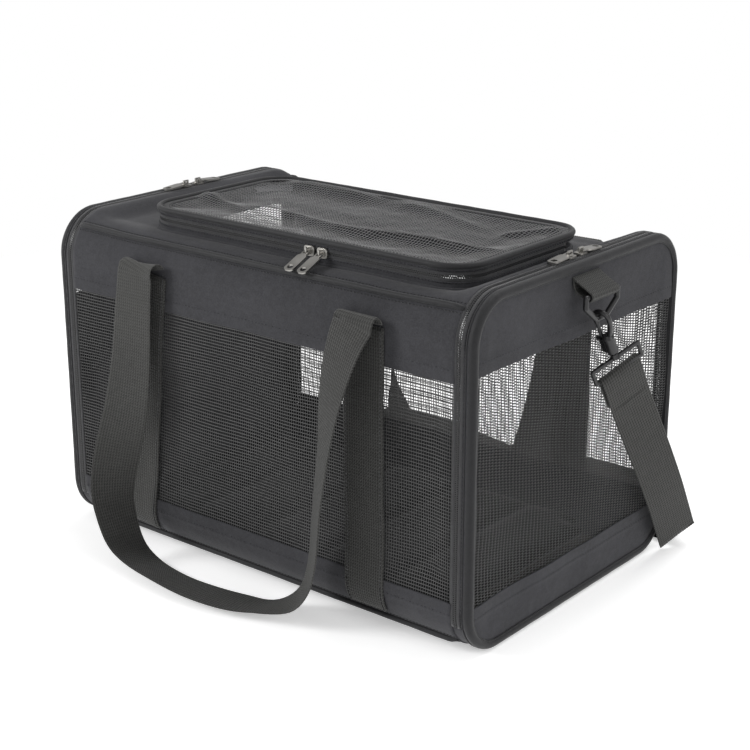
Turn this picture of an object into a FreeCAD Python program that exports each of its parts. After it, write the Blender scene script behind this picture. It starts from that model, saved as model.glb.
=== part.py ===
import FreeCAD, Part
import math
import os

# Soft-sided pet carrier bag: a cloth box with see-through net walls, a zipped net
# lid in its top, a zipped door at each end and a clip-on shoulder strap.
#
# Millimetres. +X runs along the bag to the end door that is called "right",
# -Y is the front face and +Z is up. The origin is the middle of the flat underside.

V = FreeCAD.Vector

# --- driving dimensions ----------------------------------------------------
BAG_WIDTH = 286.0          # front face to back face
BAG_HEIGHT = 280.0         # floor to the top of the end hoops
CORNER_R = 38.0            # rounding of the bag's cross-section
ROOF_HEIGHT = 271.5        # the top cloth sits lower than the hoops
ROOF_FLAT_Y = 112.0        # half width of its flat part
ROOF_X = 196.5             # it rises to the end zips beyond this
HOOP_X = 214.0             # plane of the piped hoop round each end door
HOOP_R = 4.0               # radius of that piping
SHELL_X = 200.5            # half length of the cloth between the two end zips
CLOTH = 1.6                # padded cloth thickness
NET = 1.0                  # net thickness
GAP = 0.2                  # clearance between neighbouring pieces

WINDOW_LOW = 45.0          # lower edge of the front and back nets
WINDOW_HIGH = 216.0        # upper edge of the front and back nets

COIL_T = 2.4               # zip coil thickness
COIL_W = 2.4               # width of each half of the coil
COIL_GAP = 0.8             # slot between the two halves
END_ZIP_X = 204.5          # middle of each end zip
END_ZIP_LOW = 26.0         # height at which the end zips stop
STRIP_IN = 207.5           # inner edge of the cloth strip between zip and piping
STRIP_OUT = 209.7          # outer edge of that strip

DOOR_NET_Y = (-122.0, 122.0)
DOOR_NET_Z = (42.0, 222.0)  # the right door's net
DOOR_VENT_Z = (206.0, 250.0)  # the left door is cloth with a net vent near its top
DOOR_FACE = 216.0          # outer face of the door cloth

LID_X = (-140.0, 186.0)
LID_Y = (-113.0, 48.0)
LID_R = 28.0
LID_RIM = 14.0             # top cloth left inside the lid's outline
COLLAR_TOP = 279.1
LID_ZIP_Z = 281.9          # middle of the lid zip
LID_WALL_LOW = 284.9
LID_WALL_TOP = 287.3
LID_CORD_R = 2.4
LID_TOP = 289.9

WEBBING_W = 38.0
WEBBING_T = 2.0
STRIP_CENTRE_X = 119.0     # sewn webbing strips, and the ends of each handle
STRIP_TOP = 246.0
SEAM_CORD_R = 2.4
SEAM_ANGLE = 45.0          # the edge seams run through the middle of the corners

PAD_T = 14.0
BOARD_T = 3.0

RING_AXIS_X = 231.0        # bar of the D-ring that the tab holds
RING_AXIS_Z = 257.0
RING_Y = 1.0
RING_DROP = 19.0           # from that bar to the ring's lower bar
RING_WIRE_R = 2.2
STRAP_TILT = 32.0          # lean of hook and strap towards the back, in degrees
STRAP_TURN = 26.0          # turn of the strap about its own length, in degrees
HOOK_WIRE_R = 2.0
HOOK_BEND_R = 6.1          # centre line of the hook's bend
HOOK_BEND_X = 0.5
HOOK_BEND_Z = -0.8
BOLT_X = -5.6              # middle of the spring bolt, from the hook's own axis
BOLT_R = 1.5
BOLT_TRAVEL = 9.0
EYE_HIGH = -45.0           # upper and lower bars of the hook's strap loop
EYE_LOW = -58.0
EYE_WIRE_R = 1.8
STRAP_END = -253.0         # where the strap reaches the floor, along the hook's axis
STRAP_FLOOR_Y = 222.0      # run of the strap along the floor behind the bag
STRAP_FLOOR_Z = 4.0

SLIDER_Y = (-4.0, 11.0)    # the two sliders over each end door
SLIDER_X = (42.0, 55.0)    # the two sliders at the front of the lid
PULL_PIN = 4.3             # height of a pull's bar above the middle of the coil
PULL_T = 1.3
PULL_LENGTH = 26.0


def box(x, y, z):
    """A box from three (low, high) pairs."""
    return Part.makeBox(x[1] - x[0], y[1] - y[0], z[1] - z[0], V(x[0], y[0], z[0]))


def section_face(grow, x=0.0):
    """The bag's rounded cross-section, grown outwards by grow, as a face at x."""
    half = BAG_WIDTH / 2 + grow
    low = -grow
    high = BAG_HEIGHT + grow
    r = CORNER_R + grow
    k = r * (1 - math.sqrt(0.5))
    corners = [(half, low, 1, 1), (half, high, 1, -1), (-half, high, -1, -1), (-half, low, -1, 1)]
    arcs = []
    for n, (y, z, sy, sz) in enumerate(corners):
        on_floor = V(x, y - sy * r, z)
        on_wall = V(x, y, z + sz * r)
        middle = V(x, y - sy * k, z + sz * k)
        first, last = (on_floor, on_wall) if n % 2 == 0 else (on_wall, on_floor)
        arcs.append((first, middle, last))
    edges = []
    for n, (first, middle, last) in enumerate(arcs):
        following = arcs[(n + 1) % 4][0]
        edges.append(Part.Arc(first, middle, last).toShape())
        edges.append(Part.makeLine(last, following))
    return Part.Face(Part.Wire(edges))


def prism(grow, x):
    """The cross-section run along X between the two values of x."""
    return section_face(grow, x[0]).extrude(V(x[1] - x[0], 0, 0))


def skin(inner, outer, x):
    """A layer that follows the cross-section, between two growths."""
    return prism(outer, x).cut(prism(inner, x))


def seam_point(side, top):
    """Where an edge seam runs: side is -1 for the front, top is True for the upper edge."""
    drop = CORNER_R * (1 - math.cos(math.radians(SEAM_ANGLE)))
    z = BAG_HEIGHT - drop if top else drop
    return side * (BAG_WIDTH / 2 - drop), z


def wedge(side, x):
    """The space on one side of the bag between its two edge seams."""
    y, high = seam_point(side, True)
    low = seam_point(side, False)[1]
    far = 60.0
    corners = [
        V(x[0], y - side * far, low + far),
        V(x[0], y + side * far, low - far),
        V(x[0], y + side * far, high + far),
        V(x[0], y - side * far, high - far),
    ]
    return Part.Face(Part.makePolygon(corners + corners[:1])).extrude(V(x[1] - x[0], 0, 0))


def outline(x, y, r, z):
    """A rounded rectangle as a face at height z."""
    k = r * (1 - math.sqrt(0.5))
    x0, x1 = x
    y0, y1 = y
    edges = [
        Part.makeLine(V(x0 + r, y0, z), V(x1 - r, y0, z)),
        Part.Arc(V(x1 - r, y0, z), V(x1 - k, y0 + k, z), V(x1, y0 + r, z)).toShape(),
        Part.makeLine(V(x1, y0 + r, z), V(x1, y1 - r, z)),
        Part.Arc(V(x1, y1 - r, z), V(x1 - k, y1 - k, z), V(x1 - r, y1, z)).toShape(),
        Part.makeLine(V(x1 - r, y1, z), V(x0 + r, y1, z)),
        Part.Arc(V(x0 + r, y1, z), V(x0 + k, y1 - k, z), V(x0, y1 - r, z)).toShape(),
        Part.makeLine(V(x0, y1 - r, z), V(x0, y0 + r, z)),
        Part.Arc(V(x0, y0 + r, z), V(x0 + k, y0 + k, z), V(x0 + r, y0, z)).toShape(),
    ]
    return Part.Face(Part.Wire(edges))


def lid_block(grow, z):
    """The lid's outline, grown outwards by grow, between two heights."""
    x = (LID_X[0] - grow, LID_X[1] + grow)
    y = (LID_Y[0] - grow, LID_Y[1] + grow)
    return outline(x, y, LID_R + grow, z[0]).extrude(V(0, 0, z[1] - z[0]))


def lid_wall(inner, outer, z):
    """A wall that follows the lid's outline."""
    return lid_block(outer, z).cut(lid_block(inner, z))


def cord(wire, radius):
    """A round cord along a path."""
    start = wire.Edges[0]
    point = start.valueAt(start.FirstParameter)
    along = start.tangentAt(start.FirstParameter)
    ring = Part.Wire(Part.makeCircle(radius, point, along))
    return wire.makePipeShell([ring], True, True)


def save(name, *shapes):
    """Writes one piece of the bag."""
    whole = shapes[0] if len(shapes) == 1 else Part.makeCompound(list(shapes))
    whole.exportStep("parts/" + name + ".step")


def flipped(shape):
    """The same shape at the other end of the bag."""
    return shape.mirror(V(0, 0, 0), V(1, 0, 0))


def save_both_ends(name, shape):
    """A piece that each end of the bag has."""
    save(name + "_right", shape)
    save(name + "_left", flipped(shape))


# --- the bag's fixed body ----------------------------------------------------
def wall_layer(side):
    return skin(-CLOTH, 0, (-SHELL_X, SHELL_X)).common(wedge(side, (-SHELL_X, SHELL_X)))


def make_walls():
    """Front and back walls: a cloth band above and below a net."""
    reach = (-SHELL_X, SHELL_X)
    high = (WINDOW_HIGH + GAP, BAG_HEIGHT)
    low = (0, WINDOW_LOW - GAP)
    for name, side in (("front", -1), ("back", 1)):
        layer = wall_layer(side)
        across = tuple(sorted((0, side * BAG_WIDTH)))
        save(name + "_upper_band", layer.common(box(reach, across, high)))
        save(name + "_lower_band", layer.common(box(reach, across, low)))
        face = side * (BAG_WIDTH / 2 - 0.3)
        y = tuple(sorted((face, face - side * NET)))
        save(name + "_net", box(reach, y, (WINDOW_LOW, WINDOW_HIGH)))


def roof_section(x, grow, height):
    """The space under the roof between the top edge seams, as a wire at x."""
    y, seam_z = seam_point(1, True)
    out = grow * math.sqrt(0.5)
    y += out
    seam_z += out
    high = height + grow
    flat = ROOF_FLAT_Y if height < BAG_HEIGHT else BAG_WIDTH / 2 - CORNER_R
    k = math.radians(67.5)
    centre_y = BAG_WIDTH / 2 - CORNER_R
    centre_z = BAG_HEIGHT - CORNER_R
    middle = (centre_y + (CORNER_R + grow) * math.cos(k), centre_z + (CORNER_R + grow) * math.sin(k))
    if height < BAG_HEIGHT:
        middle = ((y + flat) / 2, (seam_z + high) / 2 + 0.4)
    low = BAG_HEIGHT / 2
    edges = [
        Part.makeLine(V(x, -y, low), V(x, y, low)),
        Part.makeLine(V(x, y, low), V(x, y, seam_z)),
        Part.Arc(V(x, y, seam_z), V(x, middle[0], middle[1]), V(x, flat, high)).toShape(),
        Part.makeLine(V(x, flat, high), V(x, -flat, high)),
        Part.Arc(V(x, -flat, high), V(x, -middle[0], middle[1]), V(x, -y, seam_z)).toShape(),
        Part.makeLine(V(x, -y, seam_z), V(x, -y, low)),
    ]
    return Part.Wire(edges)


def under_roof(grow):
    """All below the roof's surface, grown outwards: low in the middle, rising to the end zips."""
    middle = Part.Face(roof_section(-ROOF_X, grow, ROOF_HEIGHT)).extrude(V(2 * ROOF_X, 0, 0))
    ends = [roof_section(ROOF_X, grow, ROOF_HEIGHT), roof_section(SHELL_X, grow, BAG_HEIGHT)]
    ramp = Part.makeLoft(ends, True, True)
    return middle.fuse(ramp).fuse(flipped(ramp))


def make_top_and_bottom():
    reach = (-SHELL_X, SHELL_X)
    slack = (-SHELL_X - 1, SHELL_X + 1)
    half = (-BAG_WIDTH, BAG_WIDTH)
    roof = under_roof(0).cut(under_roof(-CLOTH)).common(box(reach, half, (200.0, 300.0)))
    roof = roof.cut(wedge(-1, slack)).cut(wedge(1, slack))
    opening = lid_block(-LID_RIM, (BAG_HEIGHT - 20, BAG_HEIGHT + 5))
    save("top_panel", roof.cut(opening))
    ring = skin(-CLOTH, 0, reach).cut(wedge(-1, slack)).cut(wedge(1, slack))
    save("bottom_panel", ring.common(box(reach, half, (0, BAG_HEIGHT / 2))))


def make_seam_cords():
    """Piping along the four long edges, standing just off the cloth."""
    cords = []
    off = (SEAM_CORD_R + GAP) * math.sqrt(0.5)
    for side in (-1, 1):
        for top in (False, True):
            y, z = seam_point(side, top)
            z += off if top else -off
            start = V(-SHELL_X, y + side * off, z)
            cords.append(Part.makeCylinder(SEAM_CORD_R, 2 * SHELL_X, start, V(1, 0, 0)))
    save("edge_piping", *cords)


def make_sewn_strips():
    """Webbing sewn up the front and back walls."""
    for name, side in (("front", -1), ("back", 1)):
        strips = []
        for centre in (-STRIP_CENTRE_X, STRIP_CENTRE_X):
            x = (centre - WEBBING_W / 2, centre + WEBBING_W / 2)
            layer = skin(GAP, GAP + WEBBING_T, x)
            y = tuple(sorted((side * 60.0, side * 200.0)))
            strips.append(layer.common(box(x, y, (18.0, STRIP_TOP))))
        save(name + "_sewn_strips", *strips)


def make_floor():
    """A stiff board in the base, and the padded mat on it."""
    high = CLOTH + GAP + BOARD_T
    board = box((-186, 186), (-104, 104), (CLOTH + GAP, high))
    save("base_board", board)
    low = high + 1.0
    mat = outline((-184, 184), (-112, 112), 24, low + 4).extrude(V(0, 0, PAD_T))
    save("floor_mat", mat)


def make_collar():
    """The short fixed wall round the lid opening."""
    wall = lid_wall(-CLOTH, 0, (ROOF_HEIGHT - 8, COLLAR_TOP))
    hinge = lid_back_wall((COLLAR_TOP, LID_ZIP_Z - GAP))
    save("lid_collar", wall.fuse(hinge).removeSplitter().cut(under_roof(GAP)))


def lid_back_wall(z):
    """The part of the lid's wall behind the ends of its zip, where it folds."""
    back = box((LID_X[0] + LID_R, LID_X[1] - LID_R), (LID_Y[1] - LID_R, LID_Y[1] + 9), z)
    return lid_wall(-CLOTH, 0, z).common(back)


def lid_zip_run(z):
    """One half of the lid's coil: front and both sides, stopping short of the back."""
    run = lid_wall(-CLOTH, COIL_T - CLOTH, z)
    back = box((LID_X[0] - 9, LID_X[1] + 9), (LID_Y[1] - LID_R, LID_Y[1] + 9), z)
    return run.cut(back)


def make_lid():
    half = COIL_GAP / 2
    save("lid_zip_lower", lid_zip_run((LID_ZIP_Z - half - COIL_W + GAP, LID_ZIP_Z - half)))
    save("lid_zip_upper", lid_zip_run((LID_ZIP_Z + half, LID_ZIP_Z + half + COIL_W)))
    wall = lid_wall(-CLOTH, 0, (LID_WALL_LOW, LID_WALL_TOP))
    hinge = lid_back_wall((LID_ZIP_Z + GAP, LID_WALL_LOW))
    save("lid_wall", wall.fuse(hinge).removeSplitter())
    path = outline(LID_X, LID_Y, LID_R, LID_TOP).OuterWire
    save("lid_piping", cord(path, LID_CORD_R))
    net = lid_block(-LID_CORD_R - GAP, (LID_TOP - NET / 2, LID_TOP + NET / 2))
    save("lid_net", net)


def make_end_zips():
    """Coils round the end openings: up one side, over the top, down the other."""
    above = box((0, 230), (-200, 200), (END_ZIP_LOW, 300))
    half = COIL_GAP / 2
    grow = (COIL_T - CLOTH) / 2
    x = (END_ZIP_X - half - COIL_W, END_ZIP_X - half)
    fixed = skin(grow - COIL_T, grow, x).common(above)
    save("end_zips_fixed_half", fixed, flipped(fixed))
    x = (END_ZIP_X + half, END_ZIP_X + half + COIL_W - GAP)
    save_both_ends("door_zip_half", skin(grow - COIL_T, grow, x).common(above))
    strip = skin(-2.8, -2.8 + CLOTH, (STRIP_IN, STRIP_OUT))
    save_both_ends("door_strip", strip.common(above))
    sill = skin(-2.8, -2.8 + CLOTH, (SHELL_X + GAP, STRIP_OUT))
    sill = sill.common(box((0, 230), (-200, 200), (0, END_ZIP_LOW - GAP)))
    save("end_sills", sill, flipped(sill))


def make_doors():
    """End doors: cloth with a net window or vent, edged by a piped wire hoop."""
    face = section_face(-HOOP_R, HOOP_X)
    save_both_ends("door_hoop", cord(face.OuterWire, HOOP_R))
    panel, net = door_cloth_and_net(DOOR_NET_Z)
    save("door_panel_right", panel)
    save("door_net_right", net)
    panel, net = door_cloth_and_net(DOOR_VENT_Z)
    save("door_panel_left", flipped(panel))
    save("door_net_left", flipped(net))


def door_cloth_and_net(window):
    """A door's cloth with its window between two heights, and the net that fills it."""
    x = (DOOR_FACE - CLOTH, DOOR_FACE)
    blank = prism(-2 * HOOP_R - GAP, x)
    hole = box((x[0] - 1, x[1] + 1), DOOR_NET_Y, window)
    y = (DOOR_NET_Y[0] + GAP, DOOR_NET_Y[1] - GAP)
    z = (window[0] + GAP, window[1] - GAP)
    return blank.cut(hole), box((x[0] + 0.3, x[0] + 0.3 + NET), y, z)


# --- webbing and carrying handles ------------------------------------------------
def ribbon(points, wide):
    """Webbing through a list of points, each with its own width direction."""
    sections = []
    for n, point in enumerate(points):
        along = points[min(n + 1, len(points) - 1)] - points[max(n - 1, 0)]
        along.normalize()
        side = wide[n] - along * wide[n].dot(along)
        side.normalize()
        thick = along.cross(side) * (WEBBING_T / 2)
        side = side * (WEBBING_W / 2)
        corners = [point + side + thick, point - side + thick]
        corners += [point - side - thick, point + side - thick]
        sections.append(Part.makePolygon(corners + corners[:1]))
    return Part.makeLoft(sections, True, True)


def make_handles():
    """Hanging carrying handles: two falling lengths and a run along the floor."""
    path = [(-119, 146.6, 246), (-114, 158, 190), (-121, 170, 100), (-114, 173, 40)]
    path += [(-84, 176, 8), (-40, 181, 1.4), (14, 176, 1.4), (50, 165, 6), (86, 166, 36)]
    path += [(102, 172, 100), (112, 162, 190), (119, 146.6, 246)]
    wide = [(-1, 0, 0), (-1, 0, 0), (-1, 0.1, 0), (-0.9, 0.4, 0), (-0.4, 0.9, 0), (0, 1, 0)]
    wide += [(0.1, 1, 0), (0.4, 0.9, 0), (0.7, 0.7, 0), (0.8, 0.6, 0), (1, 0.2, 0), (1, 0, 0)]
    for name, side, slack in (("front", -1, 1.0), ("back", 1, 0.75)):
        points = [V(x, side * (146.6 + slack * (y - 146.6)), z) for x, y, z in path]
        across = [V(x, side * y, z) for x, y, z in wide]
        save(name + "_handle", ribbon(points, across))


# --- shoulder strap and its hooks --------------------------------------------------
def rods(points, radius, closed):
    """Straight round rods joined by balls at the corners."""
    ends = points[1:] + points[:1] if closed else points[1:]
    solid = None
    for start, end in zip(points, ends):
        rod = Part.makeCylinder(radius, (end - start).Length, start, end - start)
        piece = rod.fuse(Part.makeSphere(radius, start))
        solid = piece if solid is None else solid.fuse(piece)
    if not closed:
        solid = solid.fuse(Part.makeSphere(radius, points[-1]))
    return solid.removeSplitter()


def hung(shape):
    """Leans a piece built along -Z from the ring's lower bar to its place."""
    shape = shape.copy()
    shape.rotate(V(0, 0, 0), V(1, 0, 0), STRAP_TILT)
    shape.translate(V(RING_AXIS_X, RING_Y, RING_AXIS_Z - RING_DROP))
    return shape


def turned(shape):
    """Turns a piece of the strap about the hook's own axis."""
    shape = shape.copy()
    shape.rotate(V(0, 0, 0), V(0, 0, 1), -STRAP_TURN)
    return shape


def make_ring_and_tab():
    half = WEBBING_W / 2
    x, z = RING_AXIS_X, RING_AXIS_Z
    low = z - RING_DROP
    outline_yz = [(-22, z), (22, z), (22, z - 8), (7, low), (-7, low), (-22, z - 8)]
    points = [V(x, RING_Y + y, height) for y, height in outline_yz]
    save_both_ends("strap_ring", rods(points, RING_WIRE_R, True))
    start = V(x, RING_Y - half, z)
    loop = Part.makeCylinder(RING_WIRE_R + 0.3 + WEBBING_T, WEBBING_W, start, V(0, 1, 0))
    y = (RING_Y - half, RING_Y + half)
    arm = box((x - 20, x), y, (z - WEBBING_T, z + WEBBING_T))
    arm.rotate(V(x, 0, z), V(0, 1, 0), 38.0)
    foot = box((DOOR_FACE + GAP, DOOR_FACE + GAP + WEBBING_T), y, (z - 8, z + 13))
    tab = loop.fuse(arm).fuse(foot)
    tab = tab.common(box((DOOR_FACE + GAP, x + 10), y, (z - 20, z + 14.2)))
    eye = Part.makeCylinder(RING_WIRE_R + 0.3, 60, V(x, RING_Y - 30, z), V(0, 1, 0))
    save_both_ends("ring_tab", tab.cut(eye).removeSplitter())


def hook_wire():
    """The hook's bent wire, from its tip over the bend and down into the barrel."""
    r = HOOK_BEND_R
    middle = V(HOOK_BEND_X, 0, HOOK_BEND_Z)
    tip = V(HOOK_BEND_X - r, 0, -7.2)
    left = middle + V(-r, 0, 0)
    right = middle + V(r, 0, 0)
    sweep_r = 40.0
    depth = 20.0
    inward = sweep_r - math.sqrt(sweep_r ** 2 - depth ** 2)
    inward_mid = sweep_r - math.sqrt(sweep_r ** 2 - depth ** 2 / 4)
    edges = [
        Part.makeLine(tip, left),
        Part.Arc(left, middle + V(0, 0, r), right).toShape(),
        Part.Arc(
            right, right + V(-inward_mid, 0, -depth / 2), right + V(-inward, 0, -depth)
        ).toShape(),
    ]
    return cord(Part.Wire(edges), HOOK_WIRE_R)


def make_hook():
    low = -37.0
    barrel = Part.makeCylinder(4.6, 15.0, V(0, 0, low))
    shoulder = Part.makeCone(4.6, 2.6, 3.0, V(0, 0, low + 15.0))
    lobe = Part.makeCylinder(3.2, 14.0, V(BOLT_X, 0, low))
    web = box((BOLT_X, 0), (-3.2, 3.2), (low, low + 14.0))
    body = barrel.fuse(shoulder).fuse(lobe).fuse(web).fuse(hook_wire())
    bore = Part.makeCylinder(BOLT_R + 0.1, 30, V(BOLT_X, 0, low + 1.2))
    bore = bore.common(box((-20, 20), (-20, 20), (low, low + 20)))
    slot = box((BOLT_X - 5, BOLT_X), (-1.1, 1.1), (low + 1.2, low + 20))
    stem_hole = Part.makeCylinder(2.0, 6.0, V(0, 0, low - 0.5))
    body = body.cut(bore).cut(slot).cut(stem_hole)
    save_both_ends("hook_body", hung(body.removeSplitter()))
    top = -7.5
    bolt_low = low + 1.4 + BOLT_TRAVEL
    bolt = Part.makeCylinder(BOLT_R, top - bolt_low, V(BOLT_X, 0, bolt_low))
    trigger = box((BOLT_X - 5.4, BOLT_X), (-0.9, 0.9), (bolt_low, bolt_low + 2.4))
    save_both_ends("hook_bolt", hung(bolt.fuse(trigger).removeSplitter()))


def make_eye_and_strap():
    half = WEBBING_W / 2 + 1.0 + EYE_WIRE_R
    corners = [V(0, -half, EYE_HIGH), V(0, half, EYE_HIGH)]
    corners += [V(0, half, EYE_LOW), V(0, -half, EYE_LOW)]
    frame = rods(corners, EYE_WIRE_R, True)
    stem = Part.makeCylinder(1.9, -33.0 - EYE_HIGH, V(0, 0, EYE_HIGH))
    collar = Part.makeCone(3.6, 2.4, 4.0, V(0, 0, EYE_HIGH + 0.5))
    save_both_ends("hook_eye", hung(turned(frame.fuse(stem).fuse(collar).removeSplitter())))
    start = V(0, -WEBBING_W / 2, EYE_LOW)
    wrap = Part.makeCylinder(EYE_WIRE_R + 0.2 + WEBBING_T, WEBBING_W, start, V(0, 1, 0))
    y = (-WEBBING_W / 2, WEBBING_W / 2)
    doubled = box((-WEBBING_T, WEBBING_T), y, (EYE_LOW - 36, EYE_LOW - 1))
    single = box((-WEBBING_T / 2, WEBBING_T / 2), y, (STRAP_END, EYE_LOW - 1))
    hole = Part.makeCylinder(EYE_WIRE_R + 0.2, 60, V(0, -30, EYE_LOW), V(0, 1, 0))
    strap = wrap.fuse(doubled).fuse(single).cut(hole).removeSplitter()
    save_both_ends("strap_fall", hung(turned(strap)))


def make_strap_on_floor():
    """The two halves of the strap behind the bag, and the adjuster on one of them."""
    y, z = STRAP_FLOOR_Y, STRAP_FLOOR_Z
    points = [V(229, 145, 13), V(222, 169, 8), V(206, 194, 5), V(178, 214, z), V(150, y, z)]
    points += [V(0.5, y, z)]
    wide = [V(0.44, 0.75, 0.47), V(0.6, 0.7, 0.2), V(0.6, 0.8, 0), V(0.3, 1, 0), V(0, 1, 0)]
    wide += [V(0, 1, 0)]
    save_both_ends("strap_run", ribbon(points, wide))
    mid = 75.0
    inner = WEBBING_W / 2 + 0.5
    outer = inner + 2.6
    gap = WEBBING_T / 2 + 0.4
    rail = box((mid - 13, mid + 13), (y - outer, y + outer), (z - gap - 2.2, z + gap + 2.2))
    adjuster = rail.cut(box((mid - 14, mid + 14), (y - inner, y + inner), (z - 9, z + 9)))
    for x in ((mid - 13, mid - 10), (mid + 10, mid + 13)):
        bar = box(x, (y - outer, y + outer), (z + gap, z + gap + 2.2))
        adjuster = adjuster.fuse(bar)
    under = box((mid - 2, mid + 2), (y - outer, y + outer), (z - gap - 2.2, z - gap))
    save("strap_adjuster", adjuster.fuse(under).removeSplitter())


# --- zip sliders and pulls ---------------------------------------------------------
def placed(shape, along, outward, origin):
    """Moves a piece from its own axes (X along, Z outward) to its place on a zip."""
    across = outward.cross(along)
    matrix = FreeCAD.Matrix(
        along.x, across.x, outward.x, origin.x,
        along.y, across.y, outward.y, origin.y,
        along.z, across.z, outward.z, origin.z,
        0, 0, 0, 1,
    )
    return shape.transformGeometry(matrix)


def slider(bail_turn):
    """A slider: plates over and under the coil, a web in its slot and a bail."""
    over = outline((-5, 5), (-4, 4), 2.4, 1.5).extrude(V(0, 0, 1.4))
    under = box((-4, 4), (-2.9, 2.9), (-2.6, -1.5))
    web = box((-0.5, 3.5), (-0.25, 0.25), (-1.6, 1.6))
    bail = box((-3, 3), (-0.7, 0.7), (2.8, 6.9)).cut(box((-1.8, 1.8), (-1, 1), (2.9, 5.7)))
    bail.rotate(V(0, 0, 0), V(0, 0, 1), bail_turn)
    return over.fuse(under).fuse(web).fuse(bail).removeSplitter()


def pull():
    """A flat pull hinged on the Y axis, lying along +X, with a hole near its rounded end."""
    low = -PULL_T / 2
    rise = V(0, 0, PULL_T)
    neck = box((-0.65, 6), (-2.9, 2.9), (low, low + PULL_T))
    tab = outline((5, PULL_LENGTH), (-4.6, 4.6), 3.6, low).extrude(rise)
    hole = outline((PULL_LENGTH - 7, PULL_LENGTH - 2), (-2.6, 2.6), 2.4, low - 1).extrude(rise * 3)
    eye = box((0.65, 4.1), (-1.6, 1.6), (low - 1, low + 2))
    return neck.fuse(tab).removeSplitter().cut(hole).cut(eye)


def make_end_sliders():
    middle = BAG_HEIGHT + (COIL_T - CLOTH) / 2 - COIL_T / 2
    for place, y, facing in (("front", SLIDER_Y[0], -1), ("back", SLIDER_Y[1], 1)):
        origin = V(END_ZIP_X, y, middle)
        body = placed(slider(0), V(0, facing, 0), V(0, 0, 1), origin)
        save_both_ends("end_slider_" + place, body)
        lying = pull()
        lying.rotate(V(0, 0, 0), V(0, 1, 0), 4.0)
        lying.translate(V(0, 0, PULL_PIN))
        lying = placed(lying, V(0, facing, 0), V(0, 0, 1), origin)
        save_both_ends("end_pull_" + place, lying)


def make_lid_sliders():
    for place, x in zip(("left", "right"), SLIDER_X):
        origin = V(x, LID_Y[0] - COIL_T / 2 + CLOTH, LID_ZIP_Z)
        save("lid_slider_" + place, placed(slider(90), V(1, 0, 0), V(0, -1, 0), origin))
        hanging = pull()
        hanging.rotate(V(0, 0, 0), V(0, 1, 0), -66.5)
        hanging.rotate(V(0, 0, 0), V(0, 0, 1), -90.0)
        hanging.translate(V(0, 0, PULL_PIN))
        save("lid_pull_" + place, placed(hanging, V(1, 0, 0), V(0, -1, 0), origin))


def main():
    os.makedirs("parts", exist_ok=True)
    make_walls()
    make_top_and_bottom()
    make_seam_cords()
    make_sewn_strips()
    make_floor()
    make_collar()
    make_lid()
    make_end_zips()
    make_doors()
    make_handles()
    make_ring_and_tab()
    make_hook()
    make_eye_and_strap()
    make_strap_on_floor()
    make_end_sliders()
    make_lid_sliders()


main()
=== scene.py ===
import math

import bmesh
import bpy
import numpy as np
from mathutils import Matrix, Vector


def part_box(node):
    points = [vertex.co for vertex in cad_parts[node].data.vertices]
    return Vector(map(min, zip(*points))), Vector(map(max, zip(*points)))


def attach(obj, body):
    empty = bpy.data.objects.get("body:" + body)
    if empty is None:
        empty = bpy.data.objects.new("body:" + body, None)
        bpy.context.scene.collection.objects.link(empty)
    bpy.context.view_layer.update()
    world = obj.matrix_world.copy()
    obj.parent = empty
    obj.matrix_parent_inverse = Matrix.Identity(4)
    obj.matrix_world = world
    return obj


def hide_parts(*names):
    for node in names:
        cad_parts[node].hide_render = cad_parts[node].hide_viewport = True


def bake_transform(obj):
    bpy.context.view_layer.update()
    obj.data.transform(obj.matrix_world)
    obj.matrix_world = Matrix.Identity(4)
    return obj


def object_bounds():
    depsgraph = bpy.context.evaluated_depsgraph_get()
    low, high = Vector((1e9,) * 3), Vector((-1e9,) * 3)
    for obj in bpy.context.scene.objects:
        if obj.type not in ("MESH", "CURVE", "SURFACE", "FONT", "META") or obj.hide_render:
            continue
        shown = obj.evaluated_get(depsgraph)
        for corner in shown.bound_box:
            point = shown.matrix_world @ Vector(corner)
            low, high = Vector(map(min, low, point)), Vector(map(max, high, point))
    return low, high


# Looks of a soft-sided pet carrier bag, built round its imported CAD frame. Metres.
# +X runs along the bag to the "right" end door, -Y is the front face, +Z is up.

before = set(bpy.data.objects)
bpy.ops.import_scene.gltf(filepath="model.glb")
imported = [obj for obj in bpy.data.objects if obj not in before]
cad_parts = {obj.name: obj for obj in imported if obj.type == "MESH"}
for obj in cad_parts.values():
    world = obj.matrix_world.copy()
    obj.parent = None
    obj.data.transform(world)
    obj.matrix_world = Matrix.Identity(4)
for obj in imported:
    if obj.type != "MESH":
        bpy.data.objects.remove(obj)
CAD_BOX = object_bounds()

# --- dimensions taken from the frame ---------------------------------------------
MM = 0.001
SIDES = (("right", 1), ("left", -1))
WALLS = (("front", -1), ("back", 1))

HOOP_LOW, HOOP_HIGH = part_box("door_hoop_right")
HOOP_X = (HOOP_LOW.x + HOOP_HIGH.x) / 2
HOOP_R = (HOOP_HIGH.x - HOOP_LOW.x) / 2
BAG_HALF_Y = HOOP_HIGH.y
BAG_TOP = HOOP_HIGH.z
SHELL_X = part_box("bottom_panel")[1].x
ROOF_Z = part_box("lid_collar")[0].z
WINDOW_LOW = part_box("front_net")[0].z
WINDOW_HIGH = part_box("front_net")[1].z
DOOR_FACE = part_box("door_panel_right")[1].x
STRIP_X = (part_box("door_strip_right")[0].x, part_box("door_strip_right")[1].x)
ZIP_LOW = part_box("door_zip_half_right")[0].z
END_ZIP_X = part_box("door_zip_half_right")[0].x - 0.4 * MM
LID_LOW, LID_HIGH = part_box("lid_wall")
LID_PIPING_Z = (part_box("lid_piping")[0].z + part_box("lid_piping")[1].z) / 2
COIL_Z = (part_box("lid_zip_lower")[1].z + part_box("lid_zip_upper")[0].z) / 2
STRIP_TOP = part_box("front_sewn_strips")[1].z
STRIP_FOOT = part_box("front_sewn_strips")[0].z

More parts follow.
